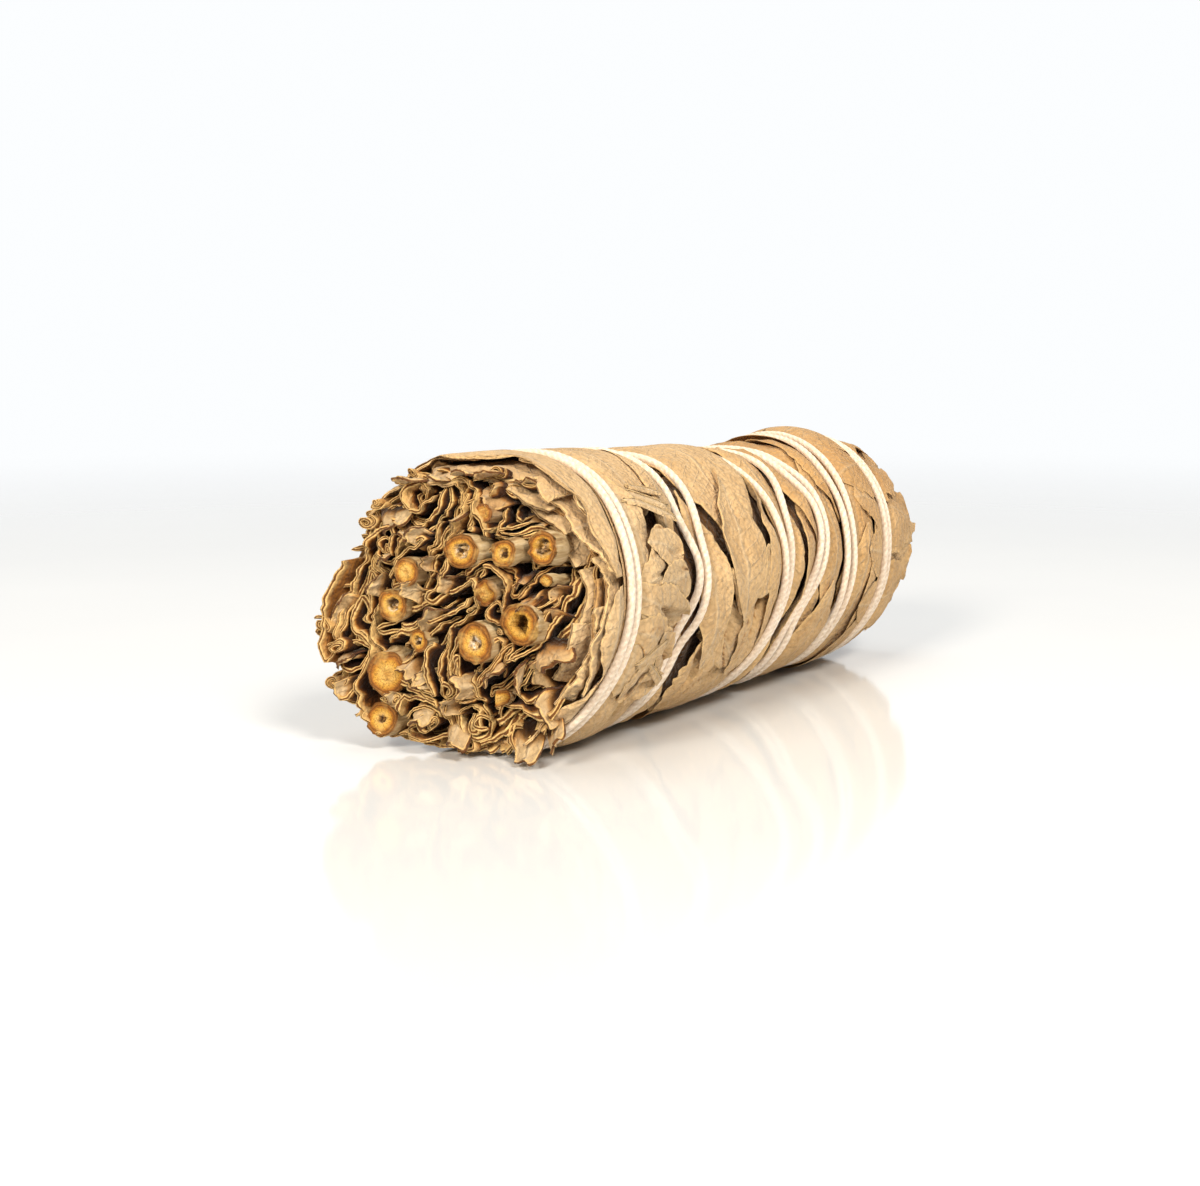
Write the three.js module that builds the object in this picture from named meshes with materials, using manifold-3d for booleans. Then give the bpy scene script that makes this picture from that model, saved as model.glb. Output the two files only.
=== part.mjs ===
// A bunch of dried white sage, rolled tight and bound with cotton string, lying on its side.
//
// Frame: +X runs along the bunch from the cut stems to the leaf tips, +Z is up, and the bunch
// rests on z = 0 with the origin under the middle of its box. Millimetres.
//
// "a" is the distance along the bunch behind the middle of the cut face, and "phi" is the angle
// round it in degrees: 0 at the -Y side, 90 at the top, 180 at the +Y side, -90 underneath.
// The cut face is drawn with u to the right and v up, seen from the cut end (u = -y, v = z - axis).

import * as THREE from "three";
import Module from "manifold-3d";

// ---------------------------------------------------------------- driving dimensions
const BULGE_R = 18.8; // outside radius of the wrap leaves between two ties, at the cut end
const AXIS_Z = 18.2; // height of the bunch's axis at the cut end: less than BULGE_R, so it rests on a flat
const AXIS_Z_MID = 17.3; // the same where the bunch starts to narrow
const AXIS_Z_TIP = 17.8; // the same at the leaf tips
const NARROW_A = 80; // where the bunch starts to narrow towards its tips
const TIP_A = 98; // where the longest leaves end
const NARROW_SCALE = 0.945; // cross-section at NARROW_A against the cut end
const TIP_SCALE = 0.84; // cross-section at TIP_A against the cut end
const CORE_SCALE = 0.912; // the bound core against the loose cut face it is drawn from
const WRAP_INNER_R = 15.95; // inside radius of the wrap leaves
const STRING_D = 1.1; // cotton string
const STRING_R = 17.95; // radius of the string's centre line round the bunch
const STRING_SINK = 0.75; // how much deeper the string sits underneath, where the bunch rests
const STRING_GAP = 0.32; // air between the string and the leaf under it
const TROUGH_EDGE = 1.05; // half width of the trough pressed into the leaves, past a strand's centre
const TROUGH_RISE = 1.2; // length of the trough's slope up to the leaf's full radius
const STEM_END_A = 66; // where the stems end inside the bunch
const WRAP_GAP = 0.36; // air between neighbouring wrap leaves
const KNOT_R = 1.45; // half the size of the tied knot
const TAIL_LENGTH = 9; // each string tail past the knot

// Cut stems in the face: u, v, radius, pith hole's share of the radius.
const STEMS = [
  [1.1, 6.8, 2, 0.5],
  [7.5, 6.3, 1.6, 0.35],
  [12.3, 7.2, 1.9, 0.42],
  [-6.5, 4.2, 1.5, 0],
  [-8.6, -0.4, 1.65, 0.42],
  [-5, -4.2, 1.1, 0.45],
  [-8.7, -8.1, 2.1, 0],
  [-8.2, -12.9, 1.75, 0.28],
  [4.1, -4.1, 2.3, 0.38],
  [10.3, -2.4, 2.55, 0.55],
  [4.2, 11.4, 1.1, 0],
  [4.5, 1.4, 1.6, 0],
  [13.2, 2.9, 0.8, 0],
  [7.6, -10.9, 0.85, 0],
];

// Outline of each rolled or folded core leaf in the cut face, as u, v points.
const CORE_LEAVES = [
  [[-10.08, 4.08], [-9.3, 4.59], [-8.32, 5.7], [-7.25, 8.28], [-7.35, 8.52], [-8.62, 9.78], [-8.94, 9.98], [-9.36, 9.99], [-9.72, 10.04], [-11.04, 9.32], [-11.15, 8.7], [-11.78, 7.86], [-12.15, 7.02], [-12.08, 6.42], [-11.6, 5.34], [-10.68, 4.41]],
  [[-8.59, 13.5], [-8.24, 12.3], [-7.88, 11.58], [-7.4, 10.98], [-6.72, 10.48], [-6.12, 10.35], [-5.52, 10.54], [-4.71, 11.22], [-4.28, 11.94], [-3.99, 12.84], [-3.99, 13.32], [-4.14, 13.64], [-4.74, 14.24], [-5.88, 14.45], [-6.3, 14.77]],
  [[-2.88, 14.73], [-3.48, 15.02], [-4.21, 14.34], [-3.75, 13.56], [-3.88, 12.06], [-4.47, 10.98], [-5.4, 10.24], [-6.54, 10.12], [-7.08, 10.3], [-7.64, 10.74], [-8.29, 11.64], [-8.68, 12.9], [-8.94, 13.31], [-9.67, 12.78], [-9.57, 12.36], [-9.55, 12], [-8.75, 10.68], [-8.64, 10.24], [-7.02, 8.62], [-6.84, 8.55], [-5.94, 8.8], [-4.2, 9.81], [-3.04, 11.52], [-2.61, 12.96], [-2.67, 14.4]],
  [[-6.76, 2.1], [-6.78, 2.23], [-7.44, 2.45], [-8.46, 3.07], [-9.18, 2.79], [-9.92, 2.94], [-10.16, 3.3], [-10.2, 3.74], [-10.92, 4.17], [-11.82, 5.08], [-12.32, 6.18], [-12.38, 7.32], [-12.02, 8.1], [-11.44, 8.88], [-11.28, 9.56], [-9.78, 10.34], [-9.18, 10.23], [-8.99, 10.32], [-9.85, 11.82], [-9.87, 12.3], [-10.08, 12.46], [-10.56, 12.09], [-12.49, 10.08], [-12.48, 9.94], [-12.05, 9.6], [-11.97, 8.76], [-12.91, 6.84], [-12.7, 6.42], [-12.67, 5.76], [-12.35, 5.4], [-12.15, 4.92], [-9.66, 2.15], [-7.62, 1.98]],
  [[-14.82, -6.85], [-14.5, -6.48], [-13.82, -4.5], [-13.05, -3.18], [-13.65, -0.72], [-13.71, 0.84], [-13.47, 1.92], [-13.59, 3.12], [-13.45, 3.72], [-13.25, 4.02], [-13.23, 5.1], [-12.93, 5.82], [-12.94, 6.18], [-13.23, 6.84], [-13.04, 7.5], [-12.21, 9], [-12.58, 9.6], [-12.84, 9.63], [-13.22, 9.12], [-14.66, 6.6], [-15.56, 4.14], [-16.05, 1.74], [-16.17, -1.14], [-15.99, -2.88], [-15.44, -5.28]],
  [[-7.8, 5.8], [-6.78, 6.15], [-5.7, 6.03], [-5.37, 6.12], [-4.36, 7.62], [-4.15, 8.76], [-3.16, 10.08], [-2.82, 10.76], [-2.44, 11.1], [-2.14, 11.94], [-1.95, 13.02], [-2.07, 14.82], [-2.88, 15.74], [-3.48, 15.74], [-5.43, 15.12], [-5.79, 14.94], [-5.66, 14.7], [-4.62, 14.51], [-3.84, 15.2], [-3.42, 15.33], [-2.55, 14.88], [-2.37, 14.22], [-2.37, 12.78], [-2.56, 11.82], [-3.4, 10.26], [-3.96, 9.57], [-5.28, 8.74], [-6.9, 8.24], [-7.75, 6.36]],
  [[-1.68, 14.81], [-1.83, 14.64], [-1.71, 12.72], [-2.13, 11.04], [-2.08, 10.2], [-3.2, 8.1], [-3.87, 6], [-4.03, 4.74], [-3.87, 4.26], [-4, 2.4], [-4.59, 1.2], [-5.26, 0.54], [-6.48, -0.22], [-6.57, -0.96], [-6.48, -1.07], [-6.12, -0.98], [-4.06, -0], [-3.62, 0.9], [-2.7, 2.14], [-1.6, 3.84], [-1.31, 4.98], [-1.41, 5.88], [-1.29, 6.3], [-1.37, 6.78], [-1.5, 6.8], [-1.89, 5.34], [-1.95, 4.2], [-2.14, 3.48], [-2.92, 2.34], [-3.42, 2.25], [-3.57, 2.46], [-3.38, 6.3], [-2.84, 8.04], [-1.67, 10.14], [-1.71, 10.92], [-1.35, 12.54], [-1.29, 13.62], [-1.42, 14.52]],
  [[-5.18, -6.72], [-4.56, -7.23], [-3.1, -7.02], [-1.11, -3.66], [-0.6, -3.43], [-0.14, -2.94], [0.96, -2.26], [2.1, -2.11], [2.64, -1.72], [3.66, -1.28], [3.93, -0.9], [3.54, -0.44], [2.58, 0.32], [2.55, -0.36], [2.34, -0.87], [1.2, -1.48], [0.8, -2.04], [-1.04, -3.18], [-4, -5.88], [-5.18, -6.36], [-5.29, -6.54]],
  [[4.79, 4.62], [4.56, 4.77], [4.14, 4.64], [0.66, 2.79], [0.1, 2.82], [0.04, 3.3], [0.28, 3.66], [1.31, 4.26], [0.18, 4.45], [-1, 2.82], [-2.18, 1.26], [-2.23, 1.08], [-2.1, 1.01], [1.02, 2.56], [2.58, 3.55], [3.18, 3.65]],
  [[2, 1.5], [1.86, 1.63], [1.68, 1.58], [0.72, 0.83], [0.18, 0.8], [-0.54, 0.45], [-1.02, 0.5], [-2.7, -0.2], [-3.9, -0.28], [-5.16, -0.92], [-6.72, -1.49], [-7.3, -2.1], [-7.92, -2.42], [-9, -2.49], [-9.54, -2.33], [-9.63, -2.76], [-9.38, -3.78], [-8.73, -4.56], [-8.46, -4.76], [-7.32, -4.88], [-6.72, -4.46], [-6.32, -3.3], [-5.64, -2.74], [-4.56, -2.68], [-3.42, -3.31], [0.3, -1.24], [1.02, -1.22], [1.8, -0.86], [2.18, -0.54], [2.31, -0.12], [2.31, 0.48], [2.09, 0.84]],
  [[13.99, 5.34], [12.84, 4.89], [11.88, 4.89], [10.56, 4.63], [10.26, 4.35], [9.96, 4.37], [9.66, 4.59], [7.26, 4.27], [7.24, 4.14], [8.22, 3.43], [8.71, 2.82], [8.48, 1.32], [8.31, 0.72], [8.34, -0.05], [9.42, 0.5], [10.38, 0.57], [12.02, 1.02], [12.15, 1.26], [11.97, 2.58], [12.05, 3.48], [12.6, 4.04], [13.47, 4.2]],
  [[6.96, -3.05], [7.28, -2.58], [7.42, -1.44], [7.91, -0.48], [7.89, -0.06], [8.07, 0.36], [8.07, 0.96], [8.41, 2.64], [7.38, 3.68], [5.4, 4.53], [3.78, 3.68], [3.39, 3.36], [3.51, 3.24], [4.2, 3.45], [5.52, 3.45], [6.26, 3.12], [6.73, 2.58], [6.93, 1.98], [6.9, 1], [6.45, 0.66], [6.18, 0.16], [5.72, -0.3], [5.22, -0.56], [4.62, -0.65], [4.25, -1.02], [4.62, -1.39], [5.22, -1.54], [5.84, -1.92], [6.54, -2.78]],
  [[14.4, 5.93], [14.23, 5.76], [14.18, 4.8], [13.79, 4.14], [14.35, 3.48], [14.42, 2.52], [14.16, 2.02], [12.84, 0.99], [12.65, 0.66], [13.29, -1.98], [13.29, -2.82], [13.04, -3.72], [12.57, -4.44], [11.88, -5], [10.92, -5.36], [10.08, -5.39], [8.98, -6.06], [8.25, -6.84], [8.09, -7.08], [8.22, -7.23], [8.64, -7], [9.24, -6.92], [12, -5.84], [12.91, -5.28], [13.82, -3.12], [14.6, -0.78], [15.09, 1.32], [15.18, 2.52], [15.09, 3.54], [14.96, 4.26], [14.69, 4.62], [14.6, 5.46]],
  [[16.7, -0.42], [16.3, -0.78], [15.92, -2.4], [15.53, -2.76], [14.96, -4.08], [14.22, -5.19], [13.62, -5.54], [13.14, -5.57], [12.24, -6.08], [9.48, -7.16], [8.04, -7.49], [6.72, -8.72], [6.12, -8.81], [4.32, -10.05], [4.25, -10.2], [4.68, -10.84], [5.34, -10.89], [5.94, -11.11], [6.7, -9.9], [7.2, -9.64], [7.74, -9.61], [8.62, -8.52], [10.08, -7.78], [11.88, -7.29], [13.38, -7.41], [14.64, -6.08], [15.3, -4.78], [15.9, -4.57], [16.04, -4.38], [16.53, -2.4]],
  [[3.94, -9.84], [5.88, -8.57], [6.5, -8.46], [7.77, -7.26], [7.84, -6.84], [8.13, -6.42], [8.74, -5.82], [9.42, -5.42], [9.38, -5.28], [8.52, -4.88], [8.16, -4.53], [7.58, -3.84], [7.2, -3.75], [6.83, -4.2], [6.74, -4.98], [6.44, -5.64], [5.94, -6.21], [5.16, -6.68], [3.72, -7.12], [3.51, -7.74], [3.63, -8.4], [3.51, -9.06]],
  [[15.78, -4.96], [15.52, -5.04], [14.64, -6.62], [13.56, -7.69], [12.42, -7.53], [11.76, -7.6], [10.32, -8.02], [8.86, -8.76], [8.15, -9.6], [8.66, -10.08], [8.9, -10.68], [8.9, -11.16], [8.67, -11.7], [8.1, -12.14], [7.44, -12.21], [6.96, -12.07], [6.38, -11.46], [6.18, -11.41], [5.45, -12.36], [5.28, -13.11], [5.23, -13.74], [4.93, -14.28], [5.1, -14.37], [8.34, -12.74], [8.76, -12.35], [9.54, -12.42], [10.26, -12.04], [11.1, -12.09], [11.36, -11.94], [12.78, -10.4], [14.06, -8.64], [15.32, -6.3]],
  [[1.26, -3.79], [0.76, -5.04], [0.51, -6.42], [0.51, -8.22], [0.77, -11.34], [0.96, -11.47], [1.5, -11.24], [1.77, -10.62], [2.04, -10.37], [2.28, -10.35], [4.3, -11.7], [5.28, -12.01], [5.69, -11.46], [5.16, -11.14], [4.36, -11.04], [3.52, -9.84], [3.27, -9.3], [3.37, -7.02], [2.7, -6.63], [1.66, -5.46], [1.42, -4.86]],
  [[2.16, -10.73], [1.9, -11.04], [1.8, -11.46], [0.89, -11.94], [0.75, -12.36], [0.82, -13.38], [1.23, -14.1], [2.34, -15.13], [3.54, -14.96], [4.63, -14.34], [4.72, -13.86], [4.99, -13.5], [5.11, -12.36], [4.08, -11.96]],
  [[1.26, -2.51], [0.1, -3.18], [-0.31, -3.66], [-0.33, -4.2], [-0.87, -6.42], [-1.03, -8.34], [-0.76, -8.94], [-0.57, -10.2], [-0.79, -13.92], [-0.18, -14.36], [0.42, -14.33], [0.93, -14.7], [1.26, -15.14], [1.68, -15.3], [1.87, -15.18], [0.96, -14.3], [0.52, -13.38], [0.61, -11.76], [0.45, -11.34], [0.27, -8.46], [0.33, -5.76], [0.52, -4.8], [1.34, -2.7]],
  [[-6.11, -13.74], [-5.4, -14.36], [-4.14, -14.85], [-3.24, -14.91], [-1.98, -14.59], [-1.58, -14.04], [-1.07, -13.8], [-0.93, -12.42], [-1.14, -12.02], [-1.92, -11.45], [-3.48, -10.78], [-4.08, -10.67], [-4.98, -10.97], [-6.01, -12.66]],
  [[-2.29, -15.84], [-1.86, -16.05], [0.3, -16.25], [0.78, -16.77], [2.4, -16.59], [4.02, -16.22], [6.18, -15.44], [7.62, -14.72], [9.24, -13.7], [10.74, -12.51], [10.8, -12.34], [10.56, -12.27], [9.6, -12.75], [9, -12.59], [8.58, -12.98], [5.52, -14.54], [4.86, -14.63], [3.6, -15.26], [1.56, -15.57], [1.02, -15.39], [-0.96, -15.17], [-1.44, -15.5], [-2.1, -15.64]],
  [[-0.89, -11.64], [-1, -10.92], [-1.68, -10.23], [-5.22, -8.06], [-6.18, -7.05], [-6.31, -7.14], [-5.91, -8.76], [-5.97, -9.12], [-6.75, -10.62], [-6.56, -11.34], [-6.12, -12.01], [-5.28, -10.77], [-4.26, -10.41], [-2.7, -10.72], [-1.68, -11.21], [-1.02, -11.71]],
  [[-7.31, -15], [-6.6, -15.44], [-4.5, -16.22], [-2.58, -16.65], [-0.84, -16.83], [0.24, -16.81], [0.27, -16.68], [0.06, -16.49], [-2.1, -16.29], [-2.71, -15.96], [-2.71, -15.72], [-2.46, -15.46], [-1.74, -15.27], [-1.14, -14.91], [0.74, -15.12], [0.63, -14.88], [0.24, -14.63], [-0.42, -14.6], [-1.08, -14.19], [-1.34, -14.28], [-1.53, -14.64], [-1.92, -14.9], [-3, -15.15], [-4.02, -15.15], [-5.16, -14.84], [-6.3, -14.15]],
  [[-10.44, -6.17], [-9.65, -5.58], [-10.42, -3.96], [-11.11, -2.88], [-10.96, -1.92], [-11.63, 0.06], [-11.95, 0.6], [-12.03, 1.08], [-11.88, 1.35], [-11.34, 1.27], [-10.62, 0.53], [-10.33, 0.9], [-11.79, 2.04], [-12.9, 3.5], [-13.08, 3.59], [-13.21, 3.48], [-13.35, 2.82], [-13.17, 1.8], [-13.41, 1.2], [-13.41, -0.48], [-12.78, -2.96], [-11.58, -3.47], [-10.78, -4.14], [-10.47, -4.86]],
  [[-12.48, -10.79], [-11.98, -10.2], [-11.61, -9.24], [-11.77, -7.32], [-11.26, -6.72], [-10.65, -5.46], [-10.78, -4.86], [-11.1, -4.29], [-11.82, -3.71], [-12.66, -3.41], [-12.92, -3.6], [-13.52, -4.62], [-14.26, -6.72], [-14.65, -7.32], [-13.58, -9.36]],
  [[-0.9, -10.46], [-0.99, -9.24], [-1.27, -8.64], [-1.29, -8.16], [-1.11, -6.18], [-0.6, -3.82], [-0.9, -3.93], [-1.34, -4.56], [-2.88, -7.27], [-4.62, -7.53], [-5, -7.38], [-5.49, -6.84], [-5.64, -6.28], [-4.74, -5.89], [-4.72, -5.76], [-5.64, -5.66], [-6.4, -4.98], [-6.66, -4.89], [-7.07, -5.16], [-6.84, -5.78], [-5, -7.8], [-1.86, -9.7]],
  [[13.93, 9.18], [13.17, 10.32], [11.48, 12.06], [10.44, 12.04], [7.74, 13.82], [6.54, 14.37], [6.31, 14.28], [6.66, 13.6], [8.91, 11.52], [9.27, 10.8], [9.2, 10.5], [8.82, 10.11], [8.1, 9.82], [7.38, 9.82], [6.9, 10.1], [6.47, 10.32], [6.02, 11.58], [5.65, 12.3], [5.53, 12.3], [5.73, 11.76], [5.72, 10.98], [5.46, 10.42], [4.55, 9.54], [4.53, 9.18], [4.92, 7.78], [5.82, 7.57], [6.72, 8.24], [7.5, 8.37], [8.28, 8.24], [9.54, 7.57], [10.08, 8.08], [10.68, 8.97], [11.76, 9.51], [12.84, 9.51], [13.8, 9.07]],
  [[0.11, 16.14], [1.22, 14.76], [1.78, 13.5], [2.12, 13.2], [2.58, 11.85], [2.7, 11.86], [3.13, 12.6], [3.13, 12.84], [1.74, 14.5], [1.29, 15.3], [1.31, 15.6], [1.44, 15.68], [2.04, 15.69], [3.36, 15.5], [4.53, 14.7], [5.72, 13.14], [5.81, 12.66], [6.84, 10.48], [7.68, 10.05], [8.52, 10.3], [8.93, 10.74], [8.49, 11.46], [7.02, 12.69], [6.4, 13.38], [6.03, 14.1], [6.05, 14.52], [6.24, 14.66], [7.2, 14.48], [10.56, 12.34], [11.09, 12.36], [9.96, 13.28], [8.4, 14.24], [6.42, 15.14], [4.2, 15.8], [1.86, 16.17], [0.3, 16.23]],
  [[-3.24, 2.57], [-2.44, 3.6], [-2.26, 4.08], [-2.13, 5.58], [-1.58, 7.68], [-0.78, 9.02], [-0.04, 9.66], [0.32, 10.68], [0.69, 13.44], [0.5, 14.1], [0.06, 14.44], [-0.21, 14.94], [-0.6, 15.37], [-0.75, 15.24], [-0.45, 14.46], [-0.39, 12.9], [-0.76, 10.86], [-1, 10.26], [-1.4, 9.96], [-2.54, 7.92], [-3.14, 6.06], [-3.33, 2.7]],
  [[3.18, 8.33], [2.44, 10.62], [1.94, 12.84], [1.54, 13.26], [0.98, 14.52], [-0.06, 15.7], [-0.24, 16.15], [-1.44, 16.11], [-2.51, 15.84], [-1.86, 15.15], [-1.5, 15.13], [-1.18, 14.76], [-1.05, 12.84], [-1.38, 11.07], [-1.44, 10.48], [-1.3, 10.44], [-1.12, 10.74], [-0.63, 13.08], [-0.69, 14.22], [-1.04, 15.12], [-1.05, 15.54], [-0.78, 15.69], [-0.42, 15.67], [0.3, 14.68], [0.67, 14.46], [0.93, 13.68], [0.87, 12.18], [0.56, 10.44], [0.23, 9.48], [0.29, 9.24], [2.04, 9.19]],
  [[14.16, 8.87], [14.61, 7.74], [14.67, 7.14], [14.55, 6.48], [14.84, 5.7], [14.93, 4.86], [15.2, 4.5], [15.45, 2.4], [15.33, 1.08], [14.84, -1.02], [14.06, -3.36], [13.24, -5.1], [13.38, -5.29], [14.01, -4.92], [14.72, -3.84], [15.29, -2.52], [15.74, -2.04], [16.12, -0.42], [16.7, -0], [16.77, 0.18], [16.65, 2.46], [16.1, 4.92], [15.44, 6.66], [14.78, 7.98]],
  [[-12.84, 5.3], [-12.99, 4.86], [-12.97, 4.02], [-11.55, 2.28], [-10.14, 1.24], [-9.42, 1.58], [-8.94, 1.67], [-8.92, 1.8], [-10.02, 1.97], [-12.42, 4.72], [-12.63, 5.22]],
];

// The string goes round double, from a loop behind the cut end to a knot near the tips.
// Angle wound so far in degrees, then a of the first strand and a of the second.
const WINDING = [
  [-170, 4.6, 6.4], [-150, 3.9, 7.0], [-120, 4.1, 6.3], [-90, 4.2, 5.8], [-40, 5.2, 6.7],
  [0, 8.4, 9.8], [30, 10.6, 12.0], [55, 12.4, 13.8], [90, 13.4, 14.9], [180, 14.6, 16.2],
  [270, 17.4, 19.0], [320, 20.6, 22.1], [360, 25.4, 26.9], [410, 28.2, 32.6], [450, 27.6, 33.0],
  [540, 31.0, 35.0], [630, 38.2, 40.0], [678, 43.2, 44.7], [720, 48.0, 49.6], [770, 50.2, 56.6],
  [810, 50.0, 57.4], [900, 50.8, 56.2], [990, 52.0, 54.2], [1052, 53.4, 55.0], [1080, 58.4, 60.0],
  [1117, 62.6, 64.2], [1150, 62.2, 64.0], [1170, 61.9, 63.7], [1260, 63.2, 65.3], [1350, 65.2, 67.4],
  [1440, 68.2, 70.4], [1490, 71.6, 74.0], [1530, 74.0, 76.2], [1620, 76.2, 78.2], [1710, 78.2, 80.0],
  [1800, 81.2, 82.8], [1840, 84.2, 85.8], [1890, 84.8, 86.4], [1960, 85.0, 86.5], [1990, 85.0, 86.5],
];
const WIND_START = -148; // where the string's loop end lies
const WIND_END = 1955; // where both strands reach the knot
const SEAM = -170; // the angle at which the turns are counted
const TURNS = 6;

const LEAF = [0xb9a789, 0xad9a78, 0xc4b496, 0xa8977a, 0xb5a07a];
const BARK = [0x9a7b4f, 0xa8844c, 0xb08a4a];
const COTTON = 0xeee2d2;

// ---------------------------------------------------------------- shared functions
const rad = THREE.MathUtils.degToRad;
const lerp = THREE.MathUtils.lerp;
const clamp01 = (t) => Math.min(1, Math.max(0, t));
const smooth = (t) => { const c = clamp01(t); return c * c * (3 - 2 * c); };

// Cross-section scale and axis height along the bunch.
const scaleAt = (a) =>
  a < NARROW_A
    ? lerp(1, NARROW_SCALE, a / NARROW_A)
    : lerp(NARROW_SCALE, TIP_SCALE, (a - NARROW_A) / (TIP_A - NARROW_A));
const axisAt = (a) =>
  a < NARROW_A
    ? lerp(AXIS_Z, AXIS_Z_MID, a / NARROW_A)
    : lerp(AXIS_Z_MID, AXIS_Z_TIP, (a - NARROW_A) / (TIP_A - NARROW_A));

// A point of the cut face carried along the bunch, and a point given round the bunch.
const inFace = (a, u, v) => {
  const s = CORE_SCALE * scaleAt(a);
  return new THREE.Vector3(a, -u * s, axisAt(a) + v * s);
};
const round = (a, phi, r) => {
  const s = scaleAt(a);
  return new THREE.Vector3(a, -Math.cos(rad(phi)) * r * s, axisAt(a) + Math.sin(rad(phi)) * r * s);
};

// How far behind the middle of the face a point of the slanted, domed cut lies.
const cutAt = (u, v) => 0.12 * u + 0.009 * (u * u + v * v) - 1.2;
// A steady small variation from piece to piece, -1 to 1.
const vary = (i, k) => { const t = Math.sin(i * 12.9898 + k * 78.233) * 43758.5453; return 2 * (t - Math.floor(t)) - 1; };

// Smooth interpolation of the winding table.
function windingAt(angle, column) {
  let i = 0;
  while (i < WINDING.length - 2 && WINDING[i + 1][0] <= angle) i++;
  const p = (k) => WINDING[Math.min(WINDING.length - 1, Math.max(0, k))];
  const [a0, a1] = [p(i), p(i + 1)];
  const slope = (k) => {
    const lo = p(k - 1), hi = p(k + 1);
    return hi[0] === lo[0] ? 0 : (hi[column] - lo[column]) / (hi[0] - lo[0]);
  };
  const h = a1[0] - a0[0], t = clamp01((angle - a0[0]) / h);
  const t2 = t * t, t3 = t2 * t;
  return (
    (2 * t3 - 3 * t2 + 1) * a0[column] + (t3 - 2 * t2 + t) * h * slope(i) +
    (-2 * t3 + 3 * t2) * a1[column] + (t3 - t2) * h * slope(i + 1)
  );
}

// The string's radius round the bunch: it sits deeper underneath.
const under = (phi) => {
  const d = Math.abs(((((phi + 90) % 360) + 540) % 360) - 180);
  return 1 - smooth((d - 18) / 26);
};
const stringR = (phi) => STRING_R - STRING_SINK * under(phi);
const troughR = (phi) => stringR(phi) - STRING_D / 2 - STRING_GAP;

// Turns a closed surface so that its faces point out.
function facingOut(geometry) {
  const g = geometry.index ? geometry.toNonIndexed() : geometry;
  const p = g.getAttribute("position");
  const [a, b, c] = [new THREE.Vector3(), new THREE.Vector3(), new THREE.Vector3()];
  let volume = 0;
  for (let i = 0; i < p.count; i += 3) {
    a.fromBufferAttribute(p, i); b.fromBufferAttribute(p, i + 1); c.fromBufferAttribute(p, i + 2);
    volume += a.dot(b.cross(c));
  }
  if (volume < 0)
    for (let i = 0; i < p.count; i += 3) {
      b.fromBufferAttribute(p, i + 1); c.fromBufferAttribute(p, i + 2);
      p.setXYZ(i + 1, c.x, c.y, c.z); p.setXYZ(i + 2, b.x, b.y, b.z);
    }
  const out = new THREE.BufferGeometry().setAttribute("position", p);
  out.computeVertexNormals();
  return out;
}

// Moves every vertex of a geometry by a function.
function mapped(geometry, to) {
  const p = geometry.getAttribute("position"), v = new THREE.Vector3();
  for (let i = 0; i < p.count; i++) {
    const q = to(v.fromBufferAttribute(p, i));
    p.setXYZ(i, q.x, q.y, q.z);
  }
  return facingOut(geometry);
}

const bunch = new THREE.Group();
function add(name, geometry, color, roughness) {
  const mesh = new THREE.Mesh(geometry, new THREE.MeshStandardMaterial({ color, roughness, metalness: 0 }));
  mesh.name = name;
  bunch.add(mesh);
  return mesh;
}
const two = (n) => String(n).padStart(2, "0");

// ---------------------------------------------------------------- stems
// Each stem is turned about its own line, with a pith hole in its cut end where it is hollow.
STEMS.forEach(([u, v, r, hole], i) => {
  const front = cutAt(u, v) - 0.4 + 0.5 * vary(i, 1);
  const back = STEM_END_A + 5 * vary(i, 2);
  const depth = 2.2 + 1.2 * r * hole;
  const profile = hole
    ? [[0, front + depth], [r * hole * 0.8, front + depth], [r * hole, front + 0.2], [r * 0.93, front], [r, front + 0.35], [r, back - 0.6], [r * 0.7, back], [0, back]]
    : [[0, front - 0.15], [r * 0.6, front - 0.1], [r * 0.94, front], [r, front + 0.35], [r, back - 0.6], [r * 0.7, back], [0, back]];
  const lathe = new THREE.LatheGeometry(profile.map(([x, y]) => new THREE.Vector2(x, y)), r > 1.3 ? 12 : 9);
  add("stem_" + two(i + 1), mapped(lathe, (p) => inFace(p.y, u + p.x, v + p.z)), BARK[i % BARK.length], 0.85);
});

// ---------------------------------------------------------------- core leaves
// Each leaf is the outline of its folds, drawn out along the bunch and narrowing with it.
CORE_LEAVES.forEach((outline, i) => {
  const shape = new THREE.Shape(outline.map(([u, v]) => new THREE.Vector2(u, v)));
  const cu = outline.reduce((s, p) => s + p[0], 0) / outline.length;
  const cv = outline.reduce((s, p) => s + p[1], 0) / outline.length;
  const front = cutAt(cu, cv) + 0.7 * vary(i, 3);
  const back = i % 3 === 0 ? TIP_A - 1.5 * Math.abs(vary(i, 4)) : 86 + 7 * vary(i, 5);
  const solid = new THREE.ExtrudeGeometry(shape, { depth: 2, steps: 2, bevelEnabled: false });
  add("core_leaf_" + two(i + 1), mapped(solid, (p) => {
    const a = p.z < 0.5 ? front : p.z < 1.5 ? NARROW_A : back;
    return inFace(a, p.x, p.y);
  }), LEAF[i % LEAF.length], 0.95);
});

// ---------------------------------------------------------------- wrap leaves
// The outer leaves lie side by side round the bunch, pressed in under the string and bulging
// between its turns. Underneath, the bulges are flattened where the bunch rests.
const crossings = (phi) => {
  const list = [];
  for (let k = 0; k < TURNS; k++) {
    const t = phi + 360 * k;
    list.push([windingAt(t, 1), windingAt(t, 2)]);
  }
  return list;
};

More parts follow.
